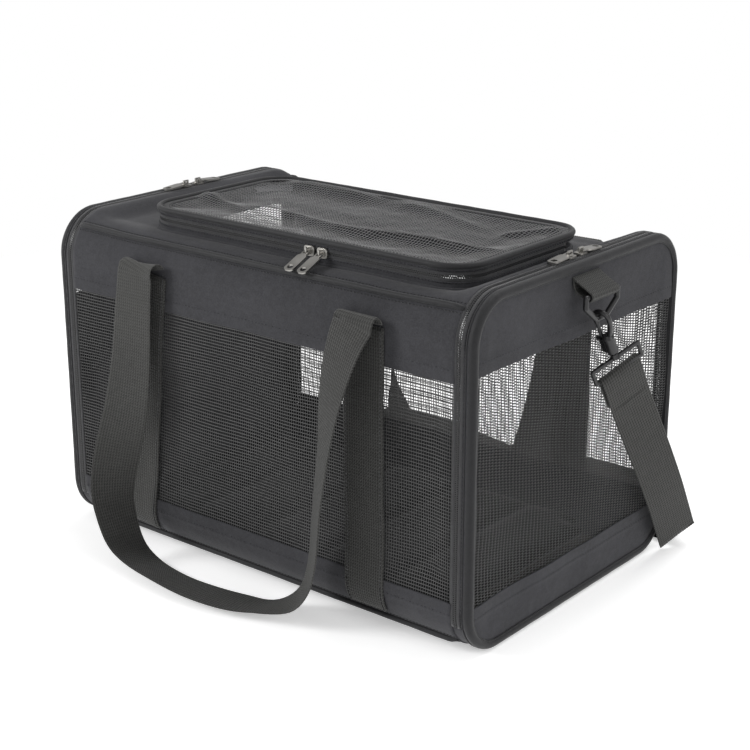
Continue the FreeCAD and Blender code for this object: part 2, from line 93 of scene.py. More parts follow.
# --- details too fine for the frame ------------------------------------------------
CORNER_R = 38 * MM            # rounding of the bag's cross-section
CLOTH = 1.6 * MM
LID_R = 28 * MM               # corner radius of the lid
LID_RIM = 14 * MM             # top cloth left inside the lid's outline
WEBBING_W = 38 * MM
WEBBING_T = 1.7 * MM
ARCH_R = 5.4 * MM             # bend of a handle where it leaves its sewn strip
RIBS = 17                     # lengthwise ribs across the webbing
STRIP_CENTRE_X = 119 * MM
STRIP_LEAN = 13 * MM          # the front left strip is sewn on a slant
BACK_SAG = 14 * MM            # how far the top's back edge drops between the hoops
TOOTH_PITCH = 1.7 * MM
FLOOR_GAP = 0.3 * MM
DOOR_SWEEP_GAP = 1.6 * MM     # strap on the floor stays clear of the door as it folds down
THREAD_W = 0.55 * MM
FINE_STITCH = {"pitch": 3.2 * MM, "length": 2.1 * MM}
HEM_ROWS = np.array([0, 0.4, 0.9, 1.6, 3, 6, 9.5, 10.6, 11.4, 13]) * MM    # closer where a hem folds
HEM_STITCH_ROW = 6            # the row of the hem's groove
SEAM_Y = BAG_HALF_Y - CORNER_R * (1 - math.sqrt(0.5))    # where a corded seam lies on its corner
RANDOM = np.random.RandomState(7)


# --- small maths -------------------------------------------------------------------
def smooth(value, low, high):
    """0 below low, 1 above high, easing between them."""
    t = np.clip((np.asarray(value, float) - low) / (high - low), 0, 1)
    return t * t * (3 - 2 * t)


def bell(value, middle, half):
    """1 at the middle, fading out on both sides."""
    return np.exp(-((value - middle) / half) ** 2)


def unit(v):
    """Vectors scaled to length one."""
    v = np.asarray(v, float)
    return v / np.maximum(np.linalg.norm(v, axis=-1, keepdims=True), 1e-12)


def wave_set(count, shortest, longest):
    """Random plane waves: direction, wavelength and phase of each."""
    angle = RANDOM.uniform(0, math.pi, count)
    size = RANDOM.uniform(shortest, longest, count)
    phase = RANDOM.uniform(0, 2 * math.pi, count)
    return np.stack([np.cos(angle) / size, np.sin(angle) / size, phase], 1)


def ripple(a, b, waves):
    """Smooth irregular waves over a surface, between about -1 and 1."""
    total = 0
    for ka, kb, phase in waves:
        total = total + np.sin(2 * math.pi * (ka * a + kb * b) + phase)
    return total / math.sqrt(len(waves)) * 0.7


CLOTH_WAVES = wave_set(7, 60 * MM, 190 * MM)
NET_WAVES = wave_set(7, 50 * MM, 130 * MM)
FINE_WAVES = wave_set(9, 14 * MM, 34 * MM)


def arc_length(path):
    step = np.linalg.norm(np.diff(path, axis=0), axis=1)
    return np.concatenate([[0], np.cumsum(step)])


def read_at(at, s, rows):
    """Rows of a table at the given distances along it."""
    return np.stack([np.interp(at, s, column) for column in rows.T], -1)


def resample(path, step, lead=None):
    """The same path with evenly spaced points, measured along its first columns."""
    s = arc_length(path[:, :lead])
    count = max(2, int(round(s[-1] / step)) + 1)
    return read_at(np.linspace(0, s[-1], count), s, path)


def spline(points, step):
    """A smooth curve through control points, evenly spaced; extra columns are carried along."""
    p = np.asarray(points, float)
    p = np.vstack([2 * p[0] - p[1], p, 2 * p[-1] - p[-2]])
    out = []
    for n in range(1, len(p) - 2):
        t = np.linspace(0, 1, 16, endpoint=False)[:, None]
        a, b, c, d = p[n - 1], p[n], p[n + 1], p[n + 2]
        out.append(0.5 * (2 * b + (c - a) * t + (2 * a - 5 * b + 4 * c - d) * t ** 2
                          + (3 * b - 3 * c + d - a) * t ** 3))
    out.append(p[-2][None])
    return resample(np.vstack(out), step, 3)


# --- mesh building -----------------------------------------------------------------
class Build:
    """Collects vertices, faces and UVs (in metres along the surface) into one mesh."""

    def __init__(self):
        self.verts = []
        self.uvs = []
        self.faces = []
        self.count = 0

    def add(self, verts, faces, uvs):
        verts = np.asarray(verts, float).reshape(-1, 3)
        self.verts.append(verts)
        self.uvs.append(np.asarray(uvs, float).reshape(-1, 2))
        self.faces += [tuple(int(i) + self.count for i in face) for face in faces]
        self.count += len(verts)

    def tube(self, verts, path, profile, closed):
        """A swept profile: its skin, and its two ends when the path is open."""
        around = np.cumsum(np.linalg.norm(profile - np.roll(profile, 1, 0), axis=1))
        u, v = np.meshgrid(arc_length(path), around, indexing="ij")
        n, k = len(path), len(profile)
        faces = grid_faces(n, k, wrap_rows=closed, wrap_cols=True).tolist()
        if not closed:
            faces += [list(range(k))[::-1], list(range((n - 1) * k, n * k))]
        self.add(verts, faces, np.stack([u, v], -1))

    def piece(self, name, material, body=None, node=None, shade=True):
        """Makes the object; it rides a body and stands in for a soft CAD node when these are given."""
        mesh = bpy.data.meshes.new(name)
        mesh.from_pydata(np.vstack(self.verts).tolist(), [], self.faces)
        uvs = np.vstack(self.uvs)
        index = np.zeros(len(mesh.loops), np.int32)
        mesh.loops.foreach_get("vertex_index", index)
        layer = mesh.uv_layers.new(name="surface")
        layer.data.foreach_set("uv", uvs[index].astype(np.float32).ravel())
        work = bmesh.new()
        work.from_mesh(mesh)
        bmesh.ops.recalc_face_normals(work, faces=work.faces)
        work.to_mesh(mesh)
        work.free()
        mesh.polygons.foreach_set("use_smooth", [shade] * len(mesh.polygons))
        mesh.materials.append(material)
        obj = bpy.data.objects.new(name, mesh)
        bpy.context.scene.collection.objects.link(obj)
        if node:
            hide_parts(node)
        if body:
            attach(obj, body)
        return obj


def grid_faces(rows, cols, wrap_rows=False, wrap_cols=False):
    """Quads of a grid of rows x cols points."""
    r = np.arange(rows if wrap_rows else rows - 1)[:, None]
    c = np.arange(cols if wrap_cols else cols - 1)[None, :]
    a = r * cols + c
    b = r * cols + (c + 1) % cols
    d = ((r + 1) % rows) * cols + c
    e = ((r + 1) % rows) * cols + (c + 1) % cols
    return np.stack([a, b, e, d], -1).reshape(-1, 4)


def sweep(build, path, side, profile, closed=False, scale=None):
    """Runs a closed profile of (across, out) points along a path."""
    path = np.asarray(path, float)
    if closed:
        along = unit(np.roll(path, -1, 0) - np.roll(path, 1, 0))
    else:
        along = unit(np.gradient(path, axis=0))
    side = np.broadcast_to(np.asarray(side, float), path.shape)
    side = unit(side - along * np.sum(side * along, 1, keepdims=True))
    out = np.cross(along, side)
    profile = np.asarray(profile, float)
    if scale is None:
        scale = np.ones(len(path))
    p = profile[None] * np.asarray(scale)[:, None, None]
    verts = path[:, None] + side[:, None] * p[..., :1] + out[:, None] * p[..., 1:]
    build.tube(verts, path, profile, closed)


def sheet(build, points, thick, toward, uvs):
    """A padded sheet: a grid of points as its outer face, an inner face and rounded rims."""
    rows, cols = points.shape[:2]
    du = np.gradient(points, axis=0)
    dv = np.gradient(points, axis=1)
    normal = unit(np.cross(du, dv))
    if np.sum(normal * toward) < 0:
        normal = -normal
    inner = points - normal * thick
    middle = points - normal * thick / 2
    grow = 0.35 * thick
    ring_r, ring_c = border(rows, cols)
    core = middle[ring_r, ring_c]
    neighbour_r = np.clip(ring_r, 1, rows - 2)
    neighbour_c = np.clip(ring_c, 1, cols - 2)
    core = core + unit(core - middle[neighbour_r, neighbour_c]) * grow
    count = rows * cols
    verts = np.vstack([points.reshape(-1, 3), inner.reshape(-1, 3), core])
    faces = grid_faces(rows, cols).tolist()
    faces += (grid_faces(rows, cols)[:, ::-1] + count).tolist()
    edge = ring_r * cols + ring_c
    m = len(edge)
    for n in range(m):
        after = (n + 1) % m
        faces.append([edge[n], edge[after], 2 * count + after, 2 * count + n])
        faces.append([2 * count + n, 2 * count + after, count + edge[after], count + edge[n]])
    flat = uvs.reshape(-1, 2)
    build.add(verts, faces, np.vstack([flat, flat, flat[edge]]))


def border(rows, cols):
    """Row and column numbers round the edge of a grid."""
    r = [0] * (cols - 1) + list(range(rows - 1)) + [rows - 1] * (cols - 1) + list(range(rows - 1, 0, -1))
    c = list(range(cols - 1)) + [cols - 1] * (rows - 1) + list(range(cols - 1, 0, -1)) + [0] * (rows - 1)
    return np.array(r), np.array(c)


def circle(radius, count):
    a = np.linspace(0, 2 * math.pi, count, endpoint=False)
    return np.stack([radius * np.cos(a), radius * np.sin(a)], 1)


def lens(width, thick):
    """A flat six-sided thread section."""
    w, t = width / 2, thick / 2
    return np.array([(-w, 0), (-w / 2, t), (w / 2, t), (w, 0), (w / 2, -t), (-w / 2, -t)])


def flat_section(width, thick):
    """A thin strip with eased edges."""
    w, t = width / 2, thick / 2
    e = t * 0.7
    return np.array([(-w, t - e), (-w + e, t), (w - e, t), (w, t - e),
                     (w, e - t), (w - e, -t), (-w + e, -t), (-w, e - t)])


def webbing_section():
    """A ribbed webbing section with a rounded selvedge."""
    a = np.linspace(-1, 1, RIBS * 3 + 1)
    height = WEBBING_T / 2 - 0.16 * MM + 0.16 * MM * np.cos(a * math.pi * RIBS)
    height = height * np.sqrt(np.clip(1.02 - np.abs(a) ** 24, 0.12, 1))
    top = np.stack([a * WEBBING_W / 2, height], 1)
    return np.vstack([top, (top * [1, -1])[::-1]])


RIB_PITCH = float(arc_length(webbing_section()[:RIBS * 3 + 1])[-1]) / RIBS


def stitches(build, path, out, pitch=3.6 * MM, length=2.5 * MM, height=0.35 * MM):
    """A row of thread stitches along a path; out is the surface's outward direction."""
    out = np.broadcast_to(np.asarray(out, float), path.shape)
    rows = resample(np.hstack([path, out]), pitch)
    for n in range(len(rows) - 1):
        middle = (rows[n, :3] + rows[n + 1, :3]) / 2
        along = unit(rows[n + 1, :3] - rows[n, :3])
        up = unit(rows[n, 3:6] + rows[n + 1, 3:6])
        across = np.cross(up, along)
        verts = []
        for share, rise in ((1.0, -0.4), (0.62, 1.0)):
            for sa, sw in ((-1, -1), (1, -1), (1, 1), (-1, 1)):
                verts.append(middle + along * sa * share * length / 2
                             + across * sw * share * THREAD_W / 2 + up * rise * height)
        faces = [(0, 1, 2, 3), (4, 5, 6, 7), (0, 1, 5, 4), (1, 2, 6, 5), (2, 3, 7, 6), (3, 0, 4, 7)]
        build.add(verts, faces, np.zeros((8, 2)))


def teeth(build, path, across, out, reach, thick, start):
    """Zip teeth along a path, reaching from the tape's edge over the middle of the zip."""
    across = np.broadcast_to(np.asarray(across, float), path.shape)
    out = np.broadcast_to(np.asarray(out, float), path.shape)
    rows = np.hstack([path, across, out])
    s = arc_length(path)
    at = np.arange(start + TOOTH_PITCH / 2, s[-1], TOOTH_PITCH)
    ahead = read_at(at + TOOTH_PITCH / 4, s, path)
    for row, nxt in zip(read_at(at, s, rows), ahead):
        along = unit(nxt - row[:3])
        side, up = unit(row[3:6]), unit(row[6:9])
        verts = []
        for sa, half in ((-1, 0.28), (1, 0.28)):
            for w, h in ((0.0, -0.5), (1.0, -0.5), (1.12, 0.0), (1.0, 0.5), (0.0, 0.5)):
                verts.append(row[:3] + along * sa * half * TOOTH_PITCH
                             + side * w * reach + up * h * thick)
        faces = [(0, 1, 2, 3, 4), (5, 6, 7, 8, 9)]
        faces += [(k, (k + 1) % 5, 5 + (k + 1) % 5, 5 + k) for k in range(5)]
        build.add(verts, faces, np.zeros((10, 2)))


# --- the bag's cross-section ---------------------------------------------------------
FLAT_Y = BAG_HALF_Y - CORNER_R
FLAT_Z = BAG_TOP - 2 * CORNER_R
ARC = math.pi / 2 * CORNER_R


def ring_table():
    """Distance round the section, y, z and the angle of its outward normal.

    It starts in the middle of the underside and goes by way of the front face."""
    rows = [(0.0, 0.0, 0.0, 0.0)]
    turn = 0.0
    for length in (FLAT_Y, 0, FLAT_Z, 0, 2 * FLAT_Y, 0, FLAT_Z, 0, FLAT_Y):
        steps = 40
        for _ in range(steps):
            t, y, z, a = rows[-1]
            if length:
                step = length / steps
                rows.append((t + step, y - math.cos(a) * step, z + math.sin(a) * step, turn))
            else:
                step = ARC / steps
                a += math.pi / 2 / steps
                mid = a - math.pi / 4 / steps
                chord = 2 * CORNER_R * math.sin(math.pi / 4 / steps)
                rows.append((t + step, y - math.cos(mid) * chord, z + math.sin(mid) * chord, a))
                turn = a
    return np.array(rows)


RING = ring_table()
RING_LENGTH = RING[-1, 0]
FRONT_LOW_SEAM = FLAT_Y + ARC / 2
FRONT_TOP_SEAM = FLAT_Y + ARC + FLAT_Z + ARC / 2
FRONT_WALL = FLAT_Y + ARC - CORNER_R      # add a height to it for a place on the front face


def ring(t, x, grow=0.0):
    """Points on the cross-section, and their outward normals."""
    t = np.mod(np.asarray(t, float), RING_LENGTH)
    y, z, a = (np.interp(t, RING[:, 0], RING[:, k]) for k in (1, 2, 3))
    ny, nz = -np.sin(a), -np.cos(a)
    x = np.broadcast_to(np.asarray(x, float), t.shape)
    points = np.stack([x, y + grow * ny, z + grow * nz], -1)
    return points, np.stack([np.zeros_like(ny), ny, nz], -1)


def on_wall(t, side):
    """The same distance round the section, counted by way of the back for side 1."""
    return t if side < 0 else RING_LENGTH - t


def at_height(z, side):
    """Distance round the section of a height on the lower half of the front or back wall."""
    angle = math.acos(1 - z / CORNER_R) if z < CORNER_R else math.pi / 2
    return on_wall(FLAT_Y + CORNER_R * angle + max(0.0, z - CORNER_R), side)


def soften(p):
    """Sags and creases the stiff section into cloth between the two end hoops."""
    p = np.array(p, float)
    x, y, z = p[..., 0], p[..., 1], p[..., 2]
    held = np.abs(x)
    free = 1 - smooth(held, SHELL_X - 26 * MM, SHELL_X)
    loose = 1 - smooth(held, SHELL_X - 70 * MM, SHELL_X)
    top = smooth(z, BAG_TOP - 14 * MM, BAG_TOP - 5 * MM)
    roof = 1 - smooth(np.abs(y), FLAT_Y - 4 * MM, SEAM_Y)
    # the roof lies lower than the hoops, the back edge drops, and the front seam gives a little
    dz = -(BAG_TOP - ROOF_Z) * free * top * roof
    dz = dz - BACK_SAG * free * smooth(z, 0.125, 0.225) * smooth(y, 0.05, 0.14)
    dz = dz - 1.6 * MM * loose * smooth(z, 0.198, 0.268) * smooth(-y, 0.08, 0.135)
    dz = dz + 0.5 * MM * loose * top * ripple(x, y, CLOTH_WAVES)
    # the walls waver over their windows, and crease below the ends of the top seams
    wall = smooth(np.abs(y), BAG_HALF_Y - 20 * MM, BAG_HALF_Y - 2 * MM)
    window = smooth(z, WINDOW_LOW - 20 * MM, WINDOW_LOW + 20 * MM)
    window = window * (1 - smooth(z, WINDOW_HIGH, BAG_TOP - 15 * MM))
    dy = 1.1 * MM * ripple(x + 0.3 * np.sign(y), z, CLOTH_WAVES) * window
    dy = dy - 1.8 * MM * window * smooth(y, 0, 0.01)
    dy = dy - 0.6 * MM * window
    crease = bell(z, 0.236 + 0.05 * (SHELL_X - held), 7 * MM)
    dy = dy - 1.0 * MM * crease * smooth(held, 0.13, 0.17)
    p[..., 1] = y + np.sign(y) * dy * wall * free
    p[..., 2] = z + dz
    return p


# --- materials ---------------------------------------------------------------------
class Shader:
    """A short-hand for building one procedural material."""

    def __init__(self, name):
        self.material = bpy.data.materials.new(name)
        self.material.use_nodes = True
        self.tree = self.material.node_tree
        self.bsdf = self.tree.nodes["Principled BSDF"]

    def node(self, kind, **settings):
        made = self.tree.nodes.new("ShaderNode" + kind)
        for key, value in settings.items():
            setattr(made, key, value)
        return made

    def put(self, source, target):
        if isinstance(source, (int, float, tuple)):
            target.default_value = source
        else:
            self.tree.links.new(source, target)

    def math(self, operation, a, b=0.0, c=0.0):
        made = self.node("Math", operation=operation)
        for n, value in enumerate((a, b, c)):
            self.put(value, made.inputs[n])
        return made.outputs[0]

    def coordinates(self, kind):
        return self.node("TexCoord").outputs[kind]

    def noise(self, where, scale, detail=3.0, rough=0.55):
        made = self.node("TexNoise")
        self.put(where, made.inputs["Vector"])
        made.inputs["Scale"].default_value = scale
        made.inputs["Detail"].default_value = detail
        made.inputs["Roughness"].default_value = rough
        return made.outputs["Fac"]

    def ramp(self, factor, low, high, dark, light):
        made = self.node("MapRange")
        self.put(factor, made.inputs["Value"])
        for key, value in (("From Min", low), ("From Max", high), ("To Min", dark), ("To Max", light)):
            made.inputs[key].default_value = value
        return made.outputs["Result"]

    def tint(self, factor, dark, light):
        made = self.node("Mix", data_type="RGBA")
        self.put(factor, made.inputs["Factor"])
        made.inputs["A"].default_value = (*dark, 1)
        made.inputs["B"].default_value = (*light, 1)
        return made.outputs["Result"]

    def bump(self, height, strength, distance, below=None):
        made = self.node("Bump")
        made.inputs["Strength"].default_value = strength
        made.inputs["Distance"].default_value = distance
        self.put(height, made.inputs["Height"])
        if below is not None:
            self.put(below, made.inputs["Normal"])
        return made.outputs["Normal"]

    def finish(self, **inputs):
        for key, value in inputs.items():
            self.put(value, self.bsdf.inputs[key.replace("_", " ")])
        return self.material


def shade(colour, factor):
    return tuple(c * factor for c in colour)


def fabric(name, colour, pitch, weave=0.35, relief=0.12, roughness=0.85, sheen=0.25, twill=False,
           relief_mm=0.18, gloss=0.12, rib=0.0):
    """Woven cloth: crossing yarns, thread flecks, faint soiling and a soft sheen."""
    s = Shader(name)
    uv = s.node("SeparateXYZ")
    s.put(s.coordinates("UV"), uv.inputs[0])
    u = s.math("MULTIPLY", uv.outputs[0], 2 * math.pi / pitch[0])
    v = s.math("MULTIPLY", uv.outputs[1], 2 * math.pi / pitch[1])
    if twill:
        u = s.math("ADD", u, v)
    warp = s.math("SINE", u)
    weft = s.math("SINE", v)
    yarns = s.math("MULTIPLY", warp, weft)
    place = s.coordinates("Object")
    cloud = s.noise(place, 14.0, 4.0)
    grain = s.noise(place, 900.0, 2.0, 0.7)
    slub = s.noise(place, 210.0, 3.0)
    level = s.math("MULTIPLY_ADD", yarns, weave * 0.5, 0.5)
    if rib:
        across = s.math("COSINE", s.math("MULTIPLY", uv.outputs[1], 2 * math.pi / RIB_PITCH))
        level = s.math("ADD", level, s.math("MULTIPLY", across, rib))
    level = s.math("ADD", level, s.ramp(grain, 0.3, 0.7, -0.25, 0.25))
    level = s.math("ADD", level, s.ramp(slub, 0.35, 0.65, -0.1, 0.1))
    level = s.math("ADD", level, s.ramp(cloud, 0.3, 0.7, -0.22, 0.22))
    base = s.tint(level, shade(colour, 0.62), shade(colour, 1.38))
    height = s.math("MULTIPLY_ADD", grain, 0.5, s.math("MULTIPLY", yarns, 0.5))
    near = s.bump(height, relief * 2.2, relief_mm * MM)
    far = s.bump(s.noise(place, 60.0, 3.0), 0.22, 1.2 * MM, near)
    rough = s.ramp(cloud, 0.3, 0.7, roughness - 0.06, roughness + 0.06)
    s.bsdf.inputs["Sheen Weight"].default_value = sheen
    s.bsdf.inputs["Sheen Roughness"].default_value = 0.45
    s.bsdf.inputs["Specular IOR Level"].default_value = gloss
    return s.finish(Base_Color=base, Roughness=rough, Normal=far)


def coated(name, colour, roughness, scratch=0.12, metallic=0.0, grain_scale=260.0, relief=0.25):
    """Moulded, painted or plated surface: fine grain, rubbed patches and small scratches."""
    s = Shader(name)
    place = s.coordinates("Object")
    stretched = s.node("Mapping")
    s.put(place, stretched.inputs["Vector"])
    stretched.inputs["Scale"].default_value = (1.0, 6.0, 1.0)
    lines = s.noise(stretched.outputs[0], 420.0, 2.0, 0.8)
    grain = s.noise(place, grain_scale, 3.0)
    patches = s.noise(place, 55.0, 4.0)
    base = s.tint(s.ramp(patches, 0.35, 0.65, 0.0, 1.0), shade(colour, 0.85), shade(colour, 1.15))
    rough = s.math("ADD", s.ramp(lines, 0.45, 0.75, 0.0, scratch), s.ramp(patches, 0.3, 0.7, 0.0, scratch))
    rough = s.math("ADD", rough, roughness)
    normal = s.bump(s.math("ADD", grain, lines), relief, 0.05 * MM)
    s.bsdf.inputs["Metallic"].default_value = metallic
    return s.finish(Base_Color=base, Roughness=rough, Normal=normal)


CLOTH_COLOUR = (0.040, 0.040, 0.044)
CLOTH_MAT = fabric("bag_cloth", CLOTH_COLOUR, (0.9 * MM, 0.7 * MM), weave=0.3, sheen=0.12)
PIPING_MAT = fabric("piping_cloth", shade(CLOTH_COLOUR, 0.36), (0.7 * MM, 0.7 * MM), weave=0.3,
                    roughness=0.6, sheen=0.15, gloss=0.25)
WEBBING_MAT = fabric("webbing", (0.046, 0.046, 0.044), (2.6 * MM, RIB_PITCH * 2), weave=0.9, relief=0.5,
                     roughness=0.78, sheen=0.1, twill=True, relief_mm=0.35, gloss=0.2, rib=0.5)
NET_MAT = fabric("net_thread", (0.058, 0.058, 0.058), (0.8 * MM, 0.4 * MM), roughness=0.55, sheen=0.1,
                 gloss=0.3)
LID_NET_MAT = fabric("lid_net_thread", (0.095, 0.095, 0.097), (0.8 * MM, 0.4 * MM), roughness=0.36,
                     sheen=0.3, gloss=0.6)
TAPE_MAT = fabric("zip_tape", (0.042, 0.042, 0.044), (0.6 * MM, 1.1 * MM), weave=0.8, relief=0.3, twill=True)
THREAD_MAT = fabric("sewing_thread", (0.05, 0.05, 0.052), (0.5 * MM, 0.5 * MM), roughness=0.6)
MAT_MAT = fabric("mat_fleece", (0.014, 0.014, 0.015), (2.5 * MM, 2.5 * MM), relief=0.5, roughness=0.95,
                 sheen=0.15, relief_mm=0.6)
COIL_MAT = coated("zip_coil", (0.018, 0.018, 0.019), 0.34)
METAL_MAT = coated("nickel_plate", (0.37, 0.36, 0.34), 0.24, 0.14, metallic=1.0, relief=0.15)
BLACK_MAT = coated("black_enamel", (0.012, 0.012, 0.013), 0.22, 0.16)
PLASTIC_MAT = coated("black_plastic", (0.02, 0.02, 0.021), 0.4, 0.12, grain_scale=700.0, relief=0.5)
BOARD_MAT = coated("fibre_board", (0.05, 0.045, 0.04), 0.7, 0.1, grain_scale=900.0, relief=0.8)


# --- front, back, top and bottom cloth ----------------------------------------------
def shell_points(t, x):
    tt, xx = np.meshgrid(t, x, indexing="ij")
    points, normal = ring(tt, xx)
    return soften(points), normal, np.stack([xx, tt], -1)


def wall_t(z, side):
    """Distance round the section of a height on the front or back wall."""
    return on_wall(FRONT_WALL + z, side)


def hem_lift(away, groove):
    """Doubled cloth along a hem's edge, pulled in along its line of stitches."""
    folded = 0.5 * MM * (1 - smooth(away, 10 * MM, 12.5 * MM))
    return folded - groove * bell(away, HEM_ROWS[HEM_STITCH_ROW], 0.9 * MM)


def make_walls():
    """Cloth bands above and below each long window, hemmed and stitched along the net."""
    x = np.linspace(-SHELL_X, SHELL_X, 130)
    for wall, side in WALLS:
        window_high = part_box(f"{wall}_net")[1].z
        for band, edge, seam in (("upper", window_high, FRONT_TOP_SEAM),
                                 ("lower", WINDOW_LOW, FRONT_LOW_SEAM)):
            start, end = wall_t(edge, side), on_wall(seam, side)
            away = np.concatenate([HEM_ROWS, np.linspace(17 * MM, abs(end - start), 20)])
            t = start + np.sign(end - start) * away
            points, normal, uvs = shell_points(t, x)
            pucker = 0.25 * MM * np.sin(x / (3.6 * MM) * math.pi)
            lift = hem_lift(away, 0.25 * MM)[:, None] + pucker * bell(away[:, None], 8 * MM, 4 * MM)
            points = points + normal * lift[..., None]
            build = Build()
            sheet(build, points, CLOTH, normal, uvs)
            stitches(build, points[HEM_STITCH_ROW], normal[HEM_STITCH_ROW])
            build.piece(f"{wall}_{band}_cloth", CLOTH_MAT, "bag", f"{wall}_{band}_band")


def roof_outline(count):
    """Matching loops round the lid opening and round the edge of the top cloth."""
    inner = lid_loop(-LID_RIM, count=count)[0]
    centre = inner.mean(0)[:2]
    outer = []
    for point in inner:
        d = point[:2] - centre
        reach = []
        for k, limit in ((0, SHELL_X), (1, SEAM_Y)):
            if abs(d[k]) > 1e-9:
                reach.append((math.copysign(limit, d[k]) - centre[k]) / d[k])
        outer.append(centre + d * min(reach))
    outer = np.array(outer)
    for cx in (-SHELL_X, SHELL_X):
        for cy in (-SEAM_Y, SEAM_Y):
            near = np.argmin(np.hypot(outer[:, 0] - cx, outer[:, 1] - cy))
            outer[near] = (cx, cy)
    return inner[:, :2], outer


def section_height(y):
    """Height of the stiff section's upper side at a distance from the middle."""
    over = np.clip(np.abs(y) - FLAT_Y, 0, CORNER_R)
    return BAG_TOP - CORNER_R + np.sqrt(CORNER_R ** 2 - over ** 2)


def make_top():
    """Top cloth: spokes from the lid opening out to the seams, closed into a loop."""
    inner, outer = roof_outline(360)
    share = np.concatenate([[0, 0.03], np.linspace(0.1, 1, 22)])
    flat = inner[None] + (outer - inner)[None] * share[:, None, None]
    flat = np.concatenate([flat, flat[:, :1]], 1)
    x, y = flat[..., 0], flat[..., 1]
    points = soften(np.stack([x, y, section_height(y)], -1))
    build = Build()
    sheet(build, points, CLOTH, np.broadcast_to([0, 0, 1.0], points.shape), flat)
    build.piece("top_cloth", CLOTH_MAT, "bag", "top_panel")


def make_bottom():
    """The underside's cloth, with two rows of stitches along it."""
    t = np.linspace(-FRONT_LOW_SEAM, FRONT_LOW_SEAM, 60)
    x = np.linspace(-SHELL_X, SHELL_X, 90)
    points, normal, uvs = shell_points(t, x)
    build = Build()
    sheet(build, points, CLOTH, normal, uvs)
    for offset in (-0.09, 0.09):
        line = np.stack([np.linspace(-0.18, 0.18, 80), np.full(80, offset), np.full(80, 0.0)], 1)
        stitches(build, line, (0, 0, -1), height=0.2 * MM)
    build.piece("bottom_cloth", CLOTH_MAT, "bag", "bottom_panel")


def make_edge_piping():
    """Corded piping along the four long seams, tucked in at the end zips."""
    build = Build()
    x = np.linspace(-SHELL_X, SHELL_X, 150)
    for seam in (FRONT_LOW_SEAM, FRONT_TOP_SEAM, on_wall(FRONT_TOP_SEAM, 1), on_wall(FRONT_LOW_SEAM, 1)):
        tuck = smooth(np.abs(x), SHELL_X - 7 * MM, SHELL_X)
        points, normal = ring(np.full_like(x, seam), x)
        cord = soften(points) + normal * (1.3 * MM - 2.4 * MM * tuck)[:, None]
        uneven = 1 + 0.05 * ripple(x, x * 0, FINE_WAVES)
        sweep(build, cord, normal, circle(2.3 * MM, 14), scale=uneven)
        for turn in (-1, 1):
            beside, out = ring(np.full_like(x, seam + turn * 4.2 * MM), x)
            stitches(build, soften(beside) + out * 0.15 * MM, out, **FINE_STITCH)
    build.piece("long_edge_piping", PIPING_MAT, "bag", "edge_piping")


# --- nets --------------------------------------------------------------------------
def wall_net_surface(x, z, side, window_high):
    points, normal = ring(wall_t(z, side), x, -0.9 * MM)
    slack = smooth(z, WINDOW_LOW, WINDOW_LOW + 30 * MM) * (1 - smooth(z, window_high - 30 * MM, window_high))
    slack = slack * (1 - smooth(np.abs(x), SHELL_X - 20 * MM, SHELL_X))
    wave = 1.5 * MM * slack * ripple(x, z + side * 0.4, NET_WAVES) - 1.0 * MM * slack
    return soften(points) + normal * wave[..., None]


def threads(build, surface, lines, along, width, thick):
    """Straight-laid threads: for each value in lines, a thread that runs through along."""
    section = lens(width, thick)
    for line in lines:
        path = surface(line, along)
        near = surface(line + 0.3 * MM, along)
        sweep(build, path, near - path, section)


def make_wall_nets():
    """Square net in the front and back windows: fine uprights and thicker cross threads."""
    lap = 6 * MM
    gap_x, gap_z = 2.25 * MM, 2.7 * MM
    xs = np.arange(-SHELL_X + 1.5 * MM, SHELL_X - 1 * MM, gap_x)
    long_x = np.linspace(-SHELL_X + 0.5 * MM, SHELL_X - 0.5 * MM, 44)
    for wall, side in WALLS:
        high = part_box(f"{wall}_net")[1].z
        zs = np.arange(WINDOW_LOW - lap, high + lap, gap_z)
        long_z = np.linspace(WINDOW_LOW - lap, high + lap, 22)
        build = Build()
        threads(build, lambda a, b: wall_net_surface(np.full_like(b, a), b, side, high), xs, long_z,
                0.6 * MM, 0.4 * MM)
        threads(build, lambda a, b: wall_net_surface(b, np.full_like(b, a), side, high), zs, long_x,
                0.85 * MM, 0.5 * MM)
        build.piece(f"{wall}_window_net", NET_MAT, "bag", f"{wall}_net")


# --- sewn webbing strips --------------------------------------------------------------
def make_strips():
    """Ribbed webbing sewn up each wall, with a row of stitches inside each edge."""
    section = webbing_section()
    climb = np.linspace(-1, 1, 64)
    for wall, side in WALLS:
        build = Build()
        sewn = Build()
        low, high = at_height(STRIP_FOOT, side), wall_t(STRIP_TOP, side)
        for centre in (-STRIP_CENTRE_X, STRIP_CENTRE_X):
            slanted = side < 0 and centre < 0
            t = np.linspace(low, high, len(climb))
            points, normal = ring(t, centre + STRIP_LEAN * climb * slanted)
            path = soften(points) + normal * 1.15 * MM
            sweep(build, path, (1, 0, 0), section)
            for offset in (-1, 1):
                run = path + np.array([offset * (WEBBING_W / 2 - 2.6 * MM), 0, 0]) + normal * 0.85 * MM
                stitches(sewn, run, normal, pitch=3.2 * MM, length=2.2 * MM)
        build.piece(f"{wall}_webbing_strips", WEBBING_MAT, "bag", f"{wall}_sewn_strips")
        sewn.piece(f"{wall}_strip_stitching", THREAD_MAT, "bag")


# --- handles -------------------------------------------------------------------------
HANDLE_OUT, HANDLE_TOP = 155.4, 247    # mm; where the webbing hangs from its arches
ARCH_POINTS = 13
